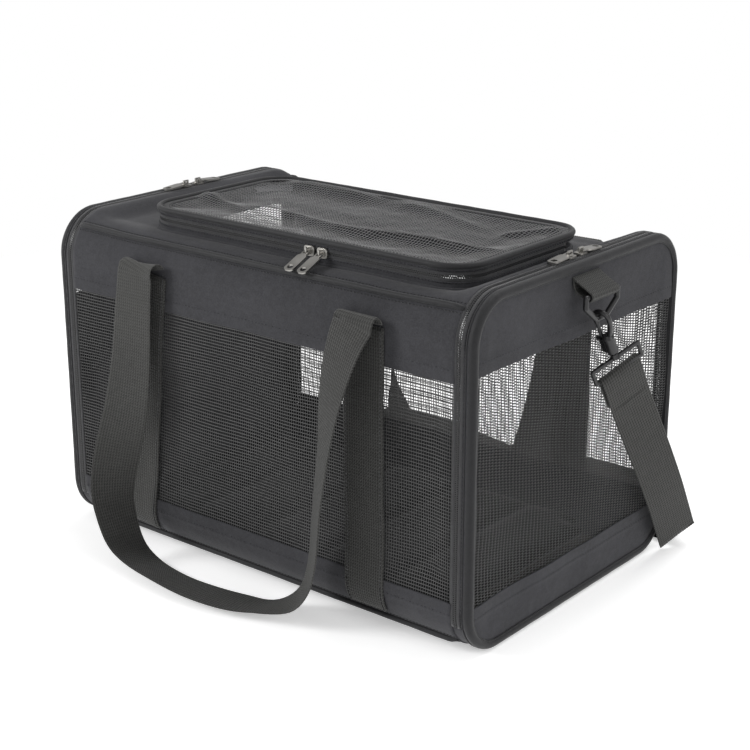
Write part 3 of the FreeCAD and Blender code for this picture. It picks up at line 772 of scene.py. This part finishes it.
# Each row: place of the webbing's middle (x, distance out from the bag's middle, z) in mm, the
# heading of its width seen from above in degrees, and how much its outer edge is lifted.
HANDLE = (
    (-111, HANDLE_OUT, HANDLE_TOP, 181, 0), (-111, 158.5, 222, 184, 0), (-112.5, 163, 172, 192, 0),
    (-117, 167, 131, 204, 0), (-124, 171, 97, 222, 0), (-129, 174, 68, 240, 0.05),
    (-127, 176, 46, 256, 0.1), (-113, 178.5, 19, 262, 0.2), (-90, 181.5, 8, 262, 0.24),
    (-52, 187, 6, 261, 0.24), (-15, 187.5, 5, 268, 0.15), (20, 182, 4.5, 285, 0.12),
    (45, 174, 6, 298, 0.2), (67, 169, 17, 308, 0.1), (82, 169, 36, 314, 0),
    (90, 170, 62, 317, 0), (96, 172, 103, 318, 0), (100.5, 170, 144, 321, 0),
    (104, 168, 178, 330, 0), (108, 164, 208, 341, 0), (113, 159, 232, 350, 0),
    (118, HANDLE_OUT, HANDLE_TOP, 358, 0),
)


def fold_over(strip_x, handle_x, side):
    """The arch at the top of a strip, where the webbing comes over into the handle."""
    a = np.linspace(0, math.pi, ARCH_POINTS)
    y = BAG_HALF_Y + 1.6 * MM + ARCH_R - ARCH_R * np.cos(a)
    z = HANDLE_TOP * MM + 1.25 * ARCH_R * np.sin(a)
    return np.stack([np.linspace(strip_x, handle_x, ARCH_POINTS), side * y, z], 1)


def make_handles():
    """A hanging webbing loop on each wall; the back one hangs closer in and a little narrower."""
    section = webbing_section()
    for wall, side in WALLS:
        slack, tuck = (1.0, 0.0) if side < 0 else (0.75, 0.28)
        rows = np.array(HANDLE, float)
        rows[:, 1] = HANDLE_OUT + slack * (rows[:, 1] - HANDLE_OUT)
        rows[:, 0] *= 1 - tuck * (1 - rows[:, 2] / HANDLE_TOP)
        path = spline(np.hstack([rows[:, :3] * MM, rows[:, 3:]]), 4.5 * MM)
        heading = np.radians(path[:, 3])
        wide = np.stack([np.cos(heading), np.sin(heading) * -side, path[:, 4]], 1)
        middle = path[:, :3] * [1, side, 1]
        left_strip = -STRIP_CENTRE_X + (STRIP_LEAN if side < 0 else 0)
        start = fold_over(left_strip, middle[0, 0], side)
        end = fold_over(STRIP_CENTRE_X, middle[-1, 0], side)[::-1]
        whole = np.vstack([start[:-1], middle, end[1:]])
        ends = (ARCH_POINTS - 1, 1)
        across = np.vstack([np.tile(wide[0], ends), wide, np.tile(wide[-1], ends)])
        build = Build()
        sweep(build, whole, across, section)
        handle = build.piece(f"{wall}_carry_handle", WEBBING_MAT, node=f"{wall}_handle")
        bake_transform(handle)


# --- lid -----------------------------------------------------------------------------
def lid_loop(grow, z=0.0, count=420):
    """Evenly spaced points round the lid's outline and their outward normals.

    The loop starts in the middle of the back edge."""
    x0, x1 = LID_LOW.x - grow, LID_HIGH.x + grow
    y0, y1 = LID_LOW.y - grow, LID_HIGH.y + grow
    r = LID_R + grow
    corners = ((x0 + r, y1 - r, 90), (x0 + r, y0 + r, 180), (x1 - r, y0 + r, 270), (x1 - r, y1 - r, 0))
    rows = [((x0 + x1) / 2, y1, 90.0)]
    for cx, cy, first in corners:
        for a in np.linspace(first, first + 90, 25):
            rad = math.radians(a)
            rows.append((cx + r * math.cos(rad), cy + r * math.sin(rad), a))
    rows.append(rows[0])
    rows = np.array(rows)
    rows[:, 2] = np.degrees(np.unwrap(np.radians(rows[:, 2])))
    s = arc_length(rows[:, :2])
    at = np.linspace(0, s[-1], count, endpoint=False)
    x, y, a = read_at(at, s, rows).T
    a = np.radians(a)
    points = np.stack([x, y, np.full(count, z)], 1)
    return points, np.stack([np.cos(a), np.sin(a), np.zeros(count)], 1)


def lid_zip_part(points):
    """True where the lid's outline has its zip: all but the hinge at the back."""
    return points[:, 1] < LID_HIGH.y - LID_R


def lid_band(build, low, high, thick, grow=0.0, bulge=0.0, keep=None):
    """An upright strip of cloth round the lid, as a closed section swept along its outline."""
    points, out = lid_loop(grow)
    h = high - low
    rise = np.linspace(0, 1, 7)
    face = np.stack([bulge * np.sin(rise * math.pi), low + h * rise], 1)
    section = np.vstack([face, (face - [thick, 0])[::-1]])
    rows = np.arange(len(points))
    if keep is not None:
        used = keep(points)
        first = int(np.argmax(used & ~np.roll(used, 1)))
        rows = (rows + first) % len(points)
        rows = rows[used[rows]]
    ring_points, ring_out = points[rows], out[rows]
    verts = ring_points[:, None] + ring_out[:, None] * section[None, :, :1]
    verts[..., 2] = section[None, :, 1]
    build.tube(verts, ring_points, section, closed=keep is None)


def lid_run(grow, z):
    """The open run of the lid's zip, from one back corner round the front to the other."""
    points, out = lid_loop(grow, z, 900)
    used = lid_zip_part(points)
    return points[used], out[used]


def make_collar():
    """Fixed cloth wall and piping round the lid opening, and the lower half of its zip."""
    build = Build()
    lid_band(build, ROOF_Z - 3.5 * MM, COIL_Z - 2.6 * MM, 1.4 * MM, bulge=0.5 * MM)
    points = lid_loop(1.2 * MM, ROOF_Z + 0.6 * MM)[0]
    sweep(build, points, (0, 0, 1), circle(1.9 * MM, 12), closed=True)
    stitches(build, *lid_loop(0.7 * MM, COIL_Z - 4.4 * MM), **FINE_STITCH)
    build.piece("lid_collar_cloth", CLOTH_MAT, "bag", "lid_collar")
    zip_half("lid_zip_lower_half", "lid_zip_lower", "bag", -1)


def zip_half(name, node, body, way):
    """Tape and teeth of one half of the lid's zip; way is -1 below the coil, 1 above it."""
    tape = Build()
    low, high = sorted((COIL_Z + way * 1.15 * MM, COIL_Z + way * 3.4 * MM))
    lid_band(tape, low, high, 0.7 * MM, grow=0.25 * MM, bulge=0.15 * MM, keep=lid_zip_part)
    tape.piece(name + "_tape", TAPE_MAT, body, node)
    build = Build()
    points, out = lid_run(-0.5 * MM, COIL_Z + way * 1.5 * MM)
    start = 0.0 if way < 0 else TOOTH_PITCH / 2
    teeth(build, points, (0, 0, -way), out, 1.75 * MM, 1.5 * MM, start)
    build.piece(name + "_teeth", COIL_MAT, body, shade=False)


LID_CREASES = (
    # start x, y, end x, y (in mm), height and half width of each fold in the loose net
    (-152, -50, -66, -62, 3.6, 7),
    (-100, -50, 66, -66, 4.4, 8),
    (24, -66, 184, -44, 5.4, 8),
    (140, -16, 176, 48, 3.8, 6),
    (-118, 34, -6, 36, 3.4, 9),
    (0, 30, 130, 8, 3.4, 11),
    (20, -108, 64, -109, 1.2, 3),
)


def lid_surface(x, y):
    """Height of the lid's net: slightly slack, with a few long folds."""
    inset = np.minimum.reduce([x - LID_LOW.x, LID_HIGH.x - x, y - LID_LOW.y, LID_HIGH.y - y])
    slack = smooth(inset, 2 * MM, 38 * MM)
    z = LID_PIPING_Z - 3.4 * MM * slack + 0.9 * MM * slack * ripple(x, y, NET_WAVES)
    for x0, y0, x1, y1, height, half in LID_CREASES:
        a = np.array([x0, y0]) * MM
        d = np.array([x1, y1]) * MM - a
        along = ((x - a[0]) * d[0] + (y - a[1]) * d[1]) / (d @ d)
        off = ((x - a[0]) * d[1] - (y - a[1]) * d[0]) / np.linalg.norm(d)
        off = off + 3 * MM * np.sin(along * 5)
        fade = smooth(along, -0.05, 0.25) * (1 - smooth(along, 0.7, 1.05))
        fold = height * MM * np.exp(-np.abs(off / (half * MM)) ** 1.5)
        z = z + fold * fade * smooth(inset, 1 * MM, 9 * MM)
    z = z + 0.25 * MM * smooth(inset, 1 * MM, 8 * MM) * ripple(x, y, FINE_WAVES)
    return np.stack([x, y, z], -1)


def lid_chords(low, high, lines, other_low, other_high):
    """For each line across the rounded outline, where it starts and ends."""
    spans = []
    for value in lines:
        into = min(value - low, high - value)
        short = 0.0
        if into < LID_R:
            short = LID_R - math.sqrt(max(0.0, LID_R ** 2 - (LID_R - into) ** 2))
        spans.append((value, other_low + short, other_high - short))
    return spans


def make_lid_edge():
    """The lid's cloth wall and its piping with the binding sewn inside it."""
    build = Build()
    lid_band(build, COIL_Z + 2.8 * MM, LID_PIPING_Z - 0.6 * MM, 1.4 * MM, bulge=0.6 * MM)
    stitches(build, *lid_loop(0.75 * MM, COIL_Z + 4.3 * MM), **FINE_STITCH)
    build.piece("lid_wall_cloth", CLOTH_MAT, "top_lid", "lid_wall")
    build = Build()
    points = lid_loop(0.0, LID_PIPING_Z)[0]
    a = arc_length(points)
    uneven = 1 + 0.04 * ripple(a, a * 0, FINE_WAVES)
    sweep(build, points, (0, 0, 1), circle(2.5 * MM, 14), closed=True, scale=uneven)
    inner, out = lid_loop(-5.5 * MM, LID_PIPING_Z - 0.2 * MM)
    sweep(build, inner, out, flat_section(8 * MM, 0.9 * MM), closed=True)
    line = lid_loop(-7.6 * MM, LID_PIPING_Z + 0.3 * MM)[0]
    stitches(build, line, (0, 0, 1), **FINE_STITCH)
    build.piece("lid_edge_piping", PIPING_MAT, "top_lid", "lid_piping")


def make_lid_net():
    """Fine net of threads laid both ways over the lid, pulled into its folds."""
    build = Build()
    pitch = 2.9 * MM
    xs = np.arange(LID_LOW.x + 2 * MM, LID_HIGH.x - 1 * MM, pitch)
    ys = np.arange(LID_LOW.y + 2 * MM, LID_HIGH.y - 1 * MM, pitch)
    section = lens(0.68 * MM, 0.3 * MM)
    for x, y0, y1 in lid_chords(LID_LOW.x, LID_HIGH.x, xs, LID_LOW.y, LID_HIGH.y):
        y = np.linspace(y0, y1, 34)
        sweep(build, lid_surface(np.full_like(y, x), y), (1, 0, 0), section)
    for y, x0, x1 in lid_chords(LID_LOW.y, LID_HIGH.y, ys, LID_LOW.x, LID_HIGH.x):
        x = np.linspace(x0, x1, 66)
        sweep(build, lid_surface(x, np.full_like(x, y)), (0, 1, 0), section)
    build.piece("lid_top_net", LID_NET_MAT, "top_lid", "lid_net")


def make_lid_hinge():
    """The cloth hinge strip at the back, where the lid folds open."""
    build = Build()
    lid_band(build, COIL_Z - 3.4 * MM, COIL_Z + 3.6 * MM, 1.0 * MM, grow=0.4 * MM,
             keep=lambda p: p[:, 1] > LID_HIGH.y - 1 * MM)
    flap = build.piece("lid_hinge_flap", CLOTH_MAT)
    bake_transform(flap)


# --- end doors -------------------------------------------------------------------------
def end_run(grow, x, count=420):
    """The open run of an end zip: up the front, over the top and down the back."""
    t = np.linspace(at_height(ZIP_LOW, -1), at_height(ZIP_LOW, 1), count)
    return ring(t, x, grow)


def make_end_zips():
    for side, sign in SIDES:
        for half, body, way in (("fixed", "bag", -1), ("door", f"{side}_door", 1)):
            name = f"end_zip_{half}_{side}"
            near, far = END_ZIP_X + way * 1.2 * MM, END_ZIP_X + way * 4.6 * MM
            tape = Build()
            points, out = end_run(-0.7 * MM, sign * (near + far) / 2, 260)
            sweep(tape, points, (1, 0, 0), flat_section(abs(far - near), 0.9 * MM))
            strip = tape.piece(name + "_tape", TAPE_MAT, body)
            if half == "door":
                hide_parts(f"door_zip_half_{side}")
            elif sign > 0:
                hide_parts("end_zips_fixed_half")
            build = Build()
            points, out = end_run(-0.75 * MM, sign * (END_ZIP_X + way * 1.55 * MM), 500)
            start = 0 if way < 0 else TOOTH_PITCH / 2
            teeth(build, points, (-way * sign, 0, 0), out, 1.8 * MM, 1.5 * MM, start)
            build.piece(name + "_teeth", COIL_MAT, body, shade=False)


def make_door_strip(side, sign):
    """Flat cloth between the zip and the piped hoop."""
    build = Build()
    t = np.linspace(at_height(ZIP_LOW, -1), at_height(ZIP_LOW, 1), 240)
    inner, outer = STRIP_X[0] - 0.4 * MM, HOOP_X - 1.5 * MM
    x = np.linspace(inner, outer, 9)
    tt, xx = np.meshgrid(t, sign * x, indexing="ij")
    rise = -1.4 * MM + 0.8 * MM * smooth(np.abs(xx), inner, inner + 1.5 * MM)
    rise = rise + 0.25 * MM * np.sin(tt / (4.1 * MM) * math.pi) * smooth(np.abs(xx), inner + 4 * MM, outer)
    points, normal = ring(tt, xx)
    points = points + normal * rise[..., None]
    sheet(build, points, 1.2 * MM, normal, np.stack([xx, tt], -1))
    line, out = end_run(-0.5 * MM, sign * (inner + 2.2 * MM))
    stitches(build, line, out, **FINE_STITCH)
    build.piece(f"door_strip_cloth_{side}", CLOTH_MAT, f"{side}_door", f"door_strip_{side}")


def make_sill(side, sign):
    """Cloth under the end of the bag, where the door folds down."""
    first, last = at_height(ZIP_LOW, 1) - RING_LENGTH, at_height(ZIP_LOW, -1)
    t = np.linspace(first, last, 90)
    x = np.linspace(SHELL_X - 1 * MM, HOOP_X - 1.5 * MM, 12)
    tt, xx = np.meshgrid(t, sign * x, indexing="ij")
    points, normal = ring(tt, xx, -0.9 * MM)
    build = Build()
    sheet(build, points, 1.2 * MM, normal, np.stack([xx, tt], -1))
    sill = build.piece(f"door_sill_{side}", CLOTH_MAT)
    if sign > 0:
        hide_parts("end_sills")
    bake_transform(sill)


def door_window(side):
    """Lowest and highest point of a door's net."""
    low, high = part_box(f"door_net_{side}")
    return low.z, high.z


def door_half_width(z):
    """Half width of the door's cloth at a height: out to the middle of the hoop piping."""
    r = CORNER_R - HOOP_R
    half = BAG_HALF_Y - HOOP_R - 1.0 * MM
    below = np.clip(CORNER_R - z, 0, r)
    above = np.clip(z - (BAG_TOP - CORNER_R), 0, r)
    drop = r - np.sqrt(np.maximum(r * r - np.maximum(below, above) ** 2, 0))
    return half - drop


def door_surface(y, z, sign):
    """The door's face: cloth slightly bellied out, with small puckers at its edge."""
    edge = np.minimum.reduce([door_half_width(z) - np.abs(y), z - 5 * MM, BAG_TOP - 5 * MM - z])
    belly = smooth(edge, 0, 40 * MM)
    x = DOOR_FACE - 0.6 * MM + 1.4 * MM * belly * ripple(y, z + 0.7, CLOTH_WAVES)
    x = x + 0.5 * MM * smooth(edge, 0, 5 * MM) * (1 - smooth(edge, 12 * MM, 25 * MM))
    x = x + 0.2 * MM * ripple(y, z, FINE_WAVES) * (1 - belly)
    return np.stack([sign * x, y, z], -1)


def make_door_cloth(side, sign):
    low, high = door_window(side)
    build = Build()
    toward = np.array([sign, 0, 0], float)
    for start, end in ((high, BAG_TOP - HOOP_R - 0.6 * MM), (low, HOOP_R + 0.6 * MM)):
        reach = abs(end - start)
        away = np.concatenate([HEM_ROWS, np.linspace(16 * MM, reach, 12 + int(reach / (8 * MM)))])
        z = start + np.sign(end - start) * away
        share = np.linspace(-1, 1, 90)
        zz, ss = np.meshgrid(z, share, indexing="ij")
        yy = ss * door_half_width(zz)
        points = door_surface(yy, zz, sign) + toward * hem_lift(away, 0.4 * MM)[:, None, None]
        sheet(build, points, 1.4 * MM, np.broadcast_to(toward, points.shape), np.stack([yy, zz], -1))
        stitches(build, points[HEM_STITCH_ROW], toward)
    build.piece(f"door_cloth_{side}", CLOTH_MAT, f"{side}_door", f"door_panel_{side}")


def make_door_net(side, sign):
    """Ladder-like net: upright threads with short staggered rungs between them."""
    low, high = door_window(side)[0] - 6 * MM, door_window(side)[1] + 6 * MM
    gap_y, gap_z = 4.3 * MM, 2.3 * MM
    half = BAG_HALF_Y - 2 * HOOP_R + 1 * MM

    def surface(y, z):
        p = door_surface(y, z, sign)
        p[..., 0] -= sign * (1.5 * MM + 0.8 * MM * ripple(y + 0.2, z, NET_WAVES))
        return p

    build = Build()
    columns = np.arange(-half, half, gap_y)
    along = np.linspace(low, high, 26)
    for y in columns:
        sweep(build, surface(np.full_like(along, y), along), (0, 1, 0), lens(0.55 * MM, 0.45 * MM))
    for n, y in enumerate(columns[:-1]):
        start = low + (0.5 * gap_z if n % 2 else 0.0)
        for z in np.arange(start, high, gap_z):
            path = surface(np.array([y, y + gap_y]), np.array([z, z]))
            sweep(build, path, (0, 0, 1), lens(0.85 * MM, 0.4 * MM)[[0, 1, 3, 4]])
    build.piece(f"door_window_net_{side}", NET_MAT, f"{side}_door", f"door_net_{side}")


def make_hoop(side, sign):
    """The thick piping that edges the door, with its sewn flange."""
    build = Build()
    t = np.linspace(0, RING_LENGTH, 520, endpoint=False)
    points, normal = ring(t, sign * HOOP_X, -HOOP_R)
    uneven = 1 + 0.025 * ripple(t, t * 0, FINE_WAVES)
    sweep(build, points, normal, circle(HOOP_R, 20), closed=True, scale=uneven)
    for grow, x in ((-HOOP_R * 1.72, DOOR_FACE + 0.4 * MM), (-0.75 * MM, HOOP_X - 3.4 * MM)):
        welt = ring(t, sign * x, grow)[0]
        sweep(build, welt, (1, 0, 0), circle(0.75 * MM, 8), closed=True)
    build.piece(f"door_piping_{side}", PIPING_MAT, f"{side}_door", f"door_hoop_{side}")


def make_tab(side, sign):
    """Webbing loop that holds the D-ring, sewn on under the top piping."""
    low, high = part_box(f"ring_tab_{side}")
    ring_low, ring_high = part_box(f"strap_ring_{side}")
    y = (low.y + high.y) / 2
    wire = 2.2 * MM
    bar_x = (abs(ring_low.x) + abs(ring_high.x)) / 2
    bar_z = ring_high.z - wire
    r = wire + 1.1 * MM
    top = bar_z + 13 * MM
    path = [(DOOR_FACE + 0.2 * MM, top), (DOOR_FACE + 2.2 * MM, top - 2.0 * MM)]
    for a in np.radians(np.linspace(62, -150, 9)):
        path.append((bar_x + r * math.cos(a), bar_z + r * math.sin(a)))
    path += [(DOOR_FACE + 4.0 * MM, bar_z + 2 * MM), (DOOR_FACE + 1.6 * MM, bar_z + 7 * MM),
             (DOOR_FACE + 1.0 * MM, top - 1 * MM)]
    points = spline([(sign * x, y, z) for x, z in path], 1.2 * MM)
    build = Build()
    sweep(build, points, (0, 1, 0), webbing_section())
    build.piece(f"ring_tab_webbing_{side}", WEBBING_MAT, f"{side}_door", f"ring_tab_{side}")


def make_doors():
    for side, sign in SIDES:
        make_door_strip(side, sign)
        make_sill(side, sign)
        make_door_cloth(side, sign)
        make_door_net(side, sign)
        make_hoop(side, sign)
        make_tab(side, sign)


# --- shoulder strap ------------------------------------------------------------------
STRAP_TURN = math.radians(26)          # how far the strap's loop is turned from the door
RUN_GAP = 0.8 * MM                     # half the gap between the strap's halves behind the bag
# distance down the strap and out from its face, in mm, where the webbing goes round the bar
FOLD_OVER_BAR = ((30, -2.2), (8, -2.9), (-2.2, -1.6), (-2.6, 1.0), (6, 2.4))
# share of the fall's length, and how far it bellies out there, in mm
FALL_BELLY = ((0.16, 1.2), (0.3, 2.2), (0.5, 4.0), (0.7, 4.2), (0.86, 2.2), (1.0, 0.0))


def strap_line(side, sign):
    """Middle of the loop's bar, foot of the fall on the floor, and the strap's directions."""
    eye = vertices(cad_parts[f"hook_eye_{side}"])
    fall = vertices(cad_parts[f"strap_fall_{side}"])
    foot = fall[fall[:, 2] < fall[:, 2].min() + 22 * MM].mean(0)
    reach = eye @ unit(foot - eye.mean(0))
    lower_side = eye[reach > reach.max() - 3 * MM]
    bar = (lower_side.min(0) + lower_side.max(0)) / 2
    outward = (sign * math.cos(STRAP_TURN), -math.sin(STRAP_TURN), 0)
    across = unit(np.cross(foot - bar, outward))
    down = unit(foot - bar)
    lift = abs(across[2]) * WEBBING_W / 2 + 2 * FLOOR_GAP
    return bar, foot + down * (foot[2] - lift) / abs(down[2]), across, down


def make_strap_fall(side, sign, bar, foot, across, down):
    """The strap from its hook to the floor, folded over the loop's bar and sewn."""
    face = unit(np.cross(across, down))
    if face[0] * sign < 0:
        face = -face
    length = np.linalg.norm(foot - bar)
    rows = [bar + down * along * MM + face * out * MM for along, out in FOLD_OVER_BAR]
    for share, belly in FALL_BELLY:
        rows.append(bar + down * length * share + face * belly * MM)
    build = Build()
    sweep(build, spline(rows, 4 * MM), across, webbing_section())
    at = bar + down * 33 * MM + face * 2.6 * MM
    line = np.stack([at + across * w for w in np.linspace(-16, 16, 9) * MM])
    stitches(build, line, face, pitch=2.6 * MM, length=1.9 * MM)
    build.piece(f"strap_fall_webbing_{side}", WEBBING_MAT, f"{side}_strap_fall", f"strap_fall_{side}")


def make_strap_run(side, sign, foot, across):
    """The strap's run over the floor, from the fall's foot to the middle of the bag's back."""
    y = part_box(f"strap_run_{side}")[1].y - WEBBING_W / 2
    z = 3.6 * MM
    if np.dot(across, (sign * 0.6, 0.7, 0.2)) < 0:
        across = -across
    wide, (fx, fy, fz) = tuple(across), foot
    # each row: place of the webbing's middle, then the direction of its width
    turn = [(fx, fy, fz, *wide), (fx - sign * 5 * MM, fy + 3 * MM, fz, *wide),
            (fx - sign * 21 * MM, fy + 12 * MM, fz, wide[0], wide[1], wide[2] * 0.9),
            (sign * 0.172, y - 15 * MM, z, sign * 0.5, 0.85, 0.1),
            (sign * 0.15, y - 2 * MM, z + 4 * MM, sign * 0.1, 1, 0.3),
            (sign * 0.1, y + 1.5 * MM, z + 5 * MM, 0, 1, 0.35),
            (sign * 0.05, y - 1 * MM, z + 3 * MM, 0, 1, 0.2), (sign * RUN_GAP, y, z, 0, 1, 0)]
    path = spline(np.array(turn), 4.5 * MM)
    build = Build()
    sweep(build, path[:, :3], path[:, 3:], webbing_section())
    verts = build.verts[0]
    verts[:, 1] = np.maximum(verts[:, 1], BAG_HALF_Y + DOOR_SWEEP_GAP)
    verts[:, 2] = np.maximum(verts[:, 2], FLOOR_GAP)
    build.piece(f"strap_run_webbing_{side}", WEBBING_MAT, f"{side}_strap_run", f"strap_run_{side}")


def make_strap():
    for side, sign in SIDES:
        bar, foot, across, down = strap_line(side, sign)
        make_strap_fall(side, sign, bar, foot, across, down)
        make_strap_run(side, sign, foot, across)


# --- floor mat -------------------------------------------------------------------------
def make_mat():
    """A padded mat: swollen by a cloth simulation, then quilted along sewn channels."""
    low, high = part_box("floor_mat")
    inset = 5 * MM
    mesh = bpy.data.meshes.new("padded_floor_mat")
    work = bmesh.new()
    bmesh.ops.create_cube(work, size=1.0)
    size = high - low
    for v in work.verts:
        v.co.x = (low.x + high.x) / 2 + v.co.x * (size.x - 2 * inset)
        v.co.y = (low.y + high.y) / 2 + v.co.y * (size.y - 2 * inset)
        v.co.z = (low.z + high.z) / 2 + v.co.z * (size.z - 6 * MM)
    upright = [e for e in work.edges if abs(e.verts[0].co.z - e.verts[1].co.z) > 1 * MM]
    bmesh.ops.bevel(work, geom=upright, offset=20 * MM, segments=6, affect="EDGES")
    work.to_mesh(mesh)
    work.free()
    mat = bpy.data.objects.new("padded_floor_mat", mesh)
    bpy.context.scene.collection.objects.link(mat)
    remesh = mat.modifiers.new("remesh", "REMESH")
    remesh.mode = "VOXEL"
    remesh.voxel_size = 4.5 * MM
    apply_modifiers(mat)
    swell(mat, 4 * MM)
    points = vertices(mat)
    for line in np.linspace(low.x, high.x, 6)[1:-1]:
        dip = bell(points[:, 0], line, 5 * MM)
        points[:, 2] -= 3.5 * MM * dip * smooth(points[:, 2], low.z + 5 * MM, high.z)
    points[:, 2] = np.clip(points[:, 2], low.z - 2.5 * MM, high.z + 2 * MM)
    mat.data.vertices.foreach_set("co", points.ravel())
    rounded = mat.modifiers.new("rounded", "SUBSURF")
    rounded.levels = 1
    apply_modifiers(mat)
    mat.data.polygons.foreach_set("use_smooth", [True] * len(mat.data.polygons))
    mat.data.materials.append(MAT_MAT)
    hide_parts("floor_mat")
    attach(mat, "bag")


def vertices(obj):
    points = np.zeros(len(obj.data.vertices) * 3)
    obj.data.vertices.foreach_get("co", points)
    return points.reshape(-1, 3)


def apply_modifiers(obj):
    graph = bpy.context.evaluated_depsgraph_get()
    made = bpy.data.meshes.new_from_object(obj.evaluated_get(graph))
    obj.modifiers.clear()
    obj.data = made


def swell(obj, cap):
    """Inflates a closed mesh with Blender's cloth solver, capping how far a point moves."""
    before = vertices(obj)
    cloth = obj.modifiers.new("cloth", "CLOTH")
    cloth.settings.use_pressure = True
    cloth.settings.uniform_pressure_force = 4
    cloth.settings.effector_weights.gravity = 0
    cloth.point_cache.frame_start = 1
    cloth.point_cache.frame_end = 20
    for number in range(1, 21):
        bpy.context.scene.frame_set(number)
    apply_modifiers(obj)
    moved = vertices(obj) - before
    far = np.linalg.norm(moved, axis=1, keepdims=True)
    limited = before + moved * np.minimum(1, cap / np.maximum(far, 1e-9))
    obj.data.vertices.foreach_set("co", limited.ravel())
    bpy.context.scene.frame_set(1)


# --- hardware that stays as CAD ------------------------------------------------------
def paint(name, material, bevel=0.0):
    """Gives a CAD node its material, and eases its sharp edges."""
    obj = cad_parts[name]
    obj.data.materials.clear()
    obj.data.materials.append(material)
    if bevel:
        eased = obj.modifiers.new("eased", "BEVEL")
        eased.width = bevel
        eased.segments = 2
        eased.limit_method = "ANGLE"
        eased.angle_limit = math.radians(40)


def paint_hardware():
    for side, _ in SIDES:
        for node in ("strap_ring", "hook_body", "hook_bolt", "hook_eye"):
            paint(f"{node}_{side}", BLACK_MAT)
        for node in ("end_slider_front", "end_slider_back", "end_pull_front", "end_pull_back",
                     "lid_slider", "lid_pull"):
            paint(f"{node}_{side}", METAL_MAT, 0.2 * MM)
    paint("strap_adjuster", PLASTIC_MAT, 0.4 * MM)
    paint("base_board", BOARD_MAT, 0.5 * MM)


# --- stage, light and camera ------------------------------------------------------------
LIGHT_TARGET = (0, 0, 0.13)
LIGHTS = (
    # name, place, width in metres and power in watts
    ("key", (-1.9, -2.2, 1.5), 1.3, 60),
    ("end", (2.6, -0.4, 1.3), 1.6, 20),
    ("over", (0.3, 1.2, 2.5), 1.6, 32),
)
CAMERA_PLACE = (0.8384, -1.0119, 0.5839)
CAMERA_TURN = math.radians(39.22)      # how far round to the right of the front face it stands
CAMERA_DIP = math.radians(18.54)       # how far it looks down
CAMERA_LENS = 77.76                    # mm, for a sensor 36 mm wide


def make_stage():
    """A matt white floor that fades into plain white away from the bag."""
    build = Build()
    reach = 30.0
    build.add([(-reach, -reach, 0), (reach, -reach, 0), (reach, reach, 0), (-reach, reach, 0)],
              [(0, 1, 2, 3)], np.zeros((4, 2)))
    s = Shader("pale_floor")
    place = s.coordinates("Object")
    tone = s.tint(s.noise(place, 3.0), (0.90, 0.90, 0.90), (0.93, 0.93, 0.93))
    surface = s.finish(Base_Color=tone, Roughness=0.9, Emission_Color=(1.0, 1.0, 1.0, 1.0),
                       Emission_Strength=0.4)
    distance = s.node("VectorMath", operation="LENGTH")
    s.put(place, distance.inputs[0])
    far_white = s.node("Emission")
    faded = s.node("MixShader")
    s.put(s.ramp(distance.outputs["Value"], 0.55, 1.1, 0.0, 1.0), faded.inputs[0])
    s.put(s.bsdf.outputs[0], faded.inputs[1])
    s.put(far_white.outputs[0], faded.inputs[2])
    s.put(faded.outputs[0], s.tree.nodes["Material Output"].inputs["Surface"])
    floor = build.piece("floor", surface)
    floor.location.z = min(0.0, CAD_BOX[0].z) - 0.3 * MM


def area_light(name, place, size, power):
    data = bpy.data.lights.new(name, "AREA")
    data.shape = "DISK"
    data.size = size
    data.energy = power
    lamp = bpy.data.objects.new(name, data)
    lamp.location = place
    aim = Vector(LIGHT_TARGET) - Vector(place)
    lamp.rotation_mode = "QUATERNION"
    lamp.rotation_quaternion = aim.to_track_quat("-Z", "Y")
    bpy.context.scene.collection.objects.link(lamp)


def make_light():
    world = bpy.data.worlds.new("studio")
    bpy.context.scene.world = world
    world.use_nodes = True
    tree = world.node_tree
    path = tree.nodes.new("ShaderNodeLightPath")
    mix = tree.nodes.new("ShaderNodeMixShader")
    tree.links.new(path.outputs["Is Camera Ray"], mix.inputs[0])
    # the white that lights the bag is weaker than the white the camera sees
    backgrounds = (tree.nodes["Background"], tree.nodes.new("ShaderNodeBackground"))
    for n, (white, strength) in enumerate(zip(backgrounds, (0.5, 1.0))):
        white.inputs["Color"].default_value = (1, 1, 1, 1)
        white.inputs["Strength"].default_value = strength
        tree.links.new(white.outputs[0], mix.inputs[n + 1])
    tree.links.new(mix.outputs[0], tree.nodes["World Output"].inputs["Surface"])
    for name, place, size, power in LIGHTS:
        area_light(name, place, size, power)
    bpy.context.scene.view_settings.view_transform = "Standard"


def make_camera():
    data = bpy.data.cameras.new("camera")
    data.lens = CAMERA_LENS
    data.sensor_width = 36
    data.clip_end = 100
    camera = bpy.data.objects.new("camera", data)
    level = math.cos(CAMERA_DIP)
    forward = Vector((-math.sin(CAMERA_TURN) * level, math.cos(CAMERA_TURN) * level,
                      -math.sin(CAMERA_DIP)))
    camera.location = CAMERA_PLACE
    camera.rotation_mode = "QUATERNION"
    camera.rotation_quaternion = forward.to_track_quat("-Z", "Y")
    bpy.context.scene.collection.objects.link(camera)
    bpy.context.scene.camera = camera


make_walls()
make_top()
make_bottom()
make_edge_piping()
make_wall_nets()
make_strips()
make_handles()
make_collar()
make_lid_edge()
make_lid_net()
zip_half("lid_zip_upper_half", "lid_zip_upper", "top_lid", 1)
make_lid_hinge()
make_end_zips()
make_doors()
make_strap()
make_mat()
paint_hardware()
make_stage()
make_light()
make_camera()
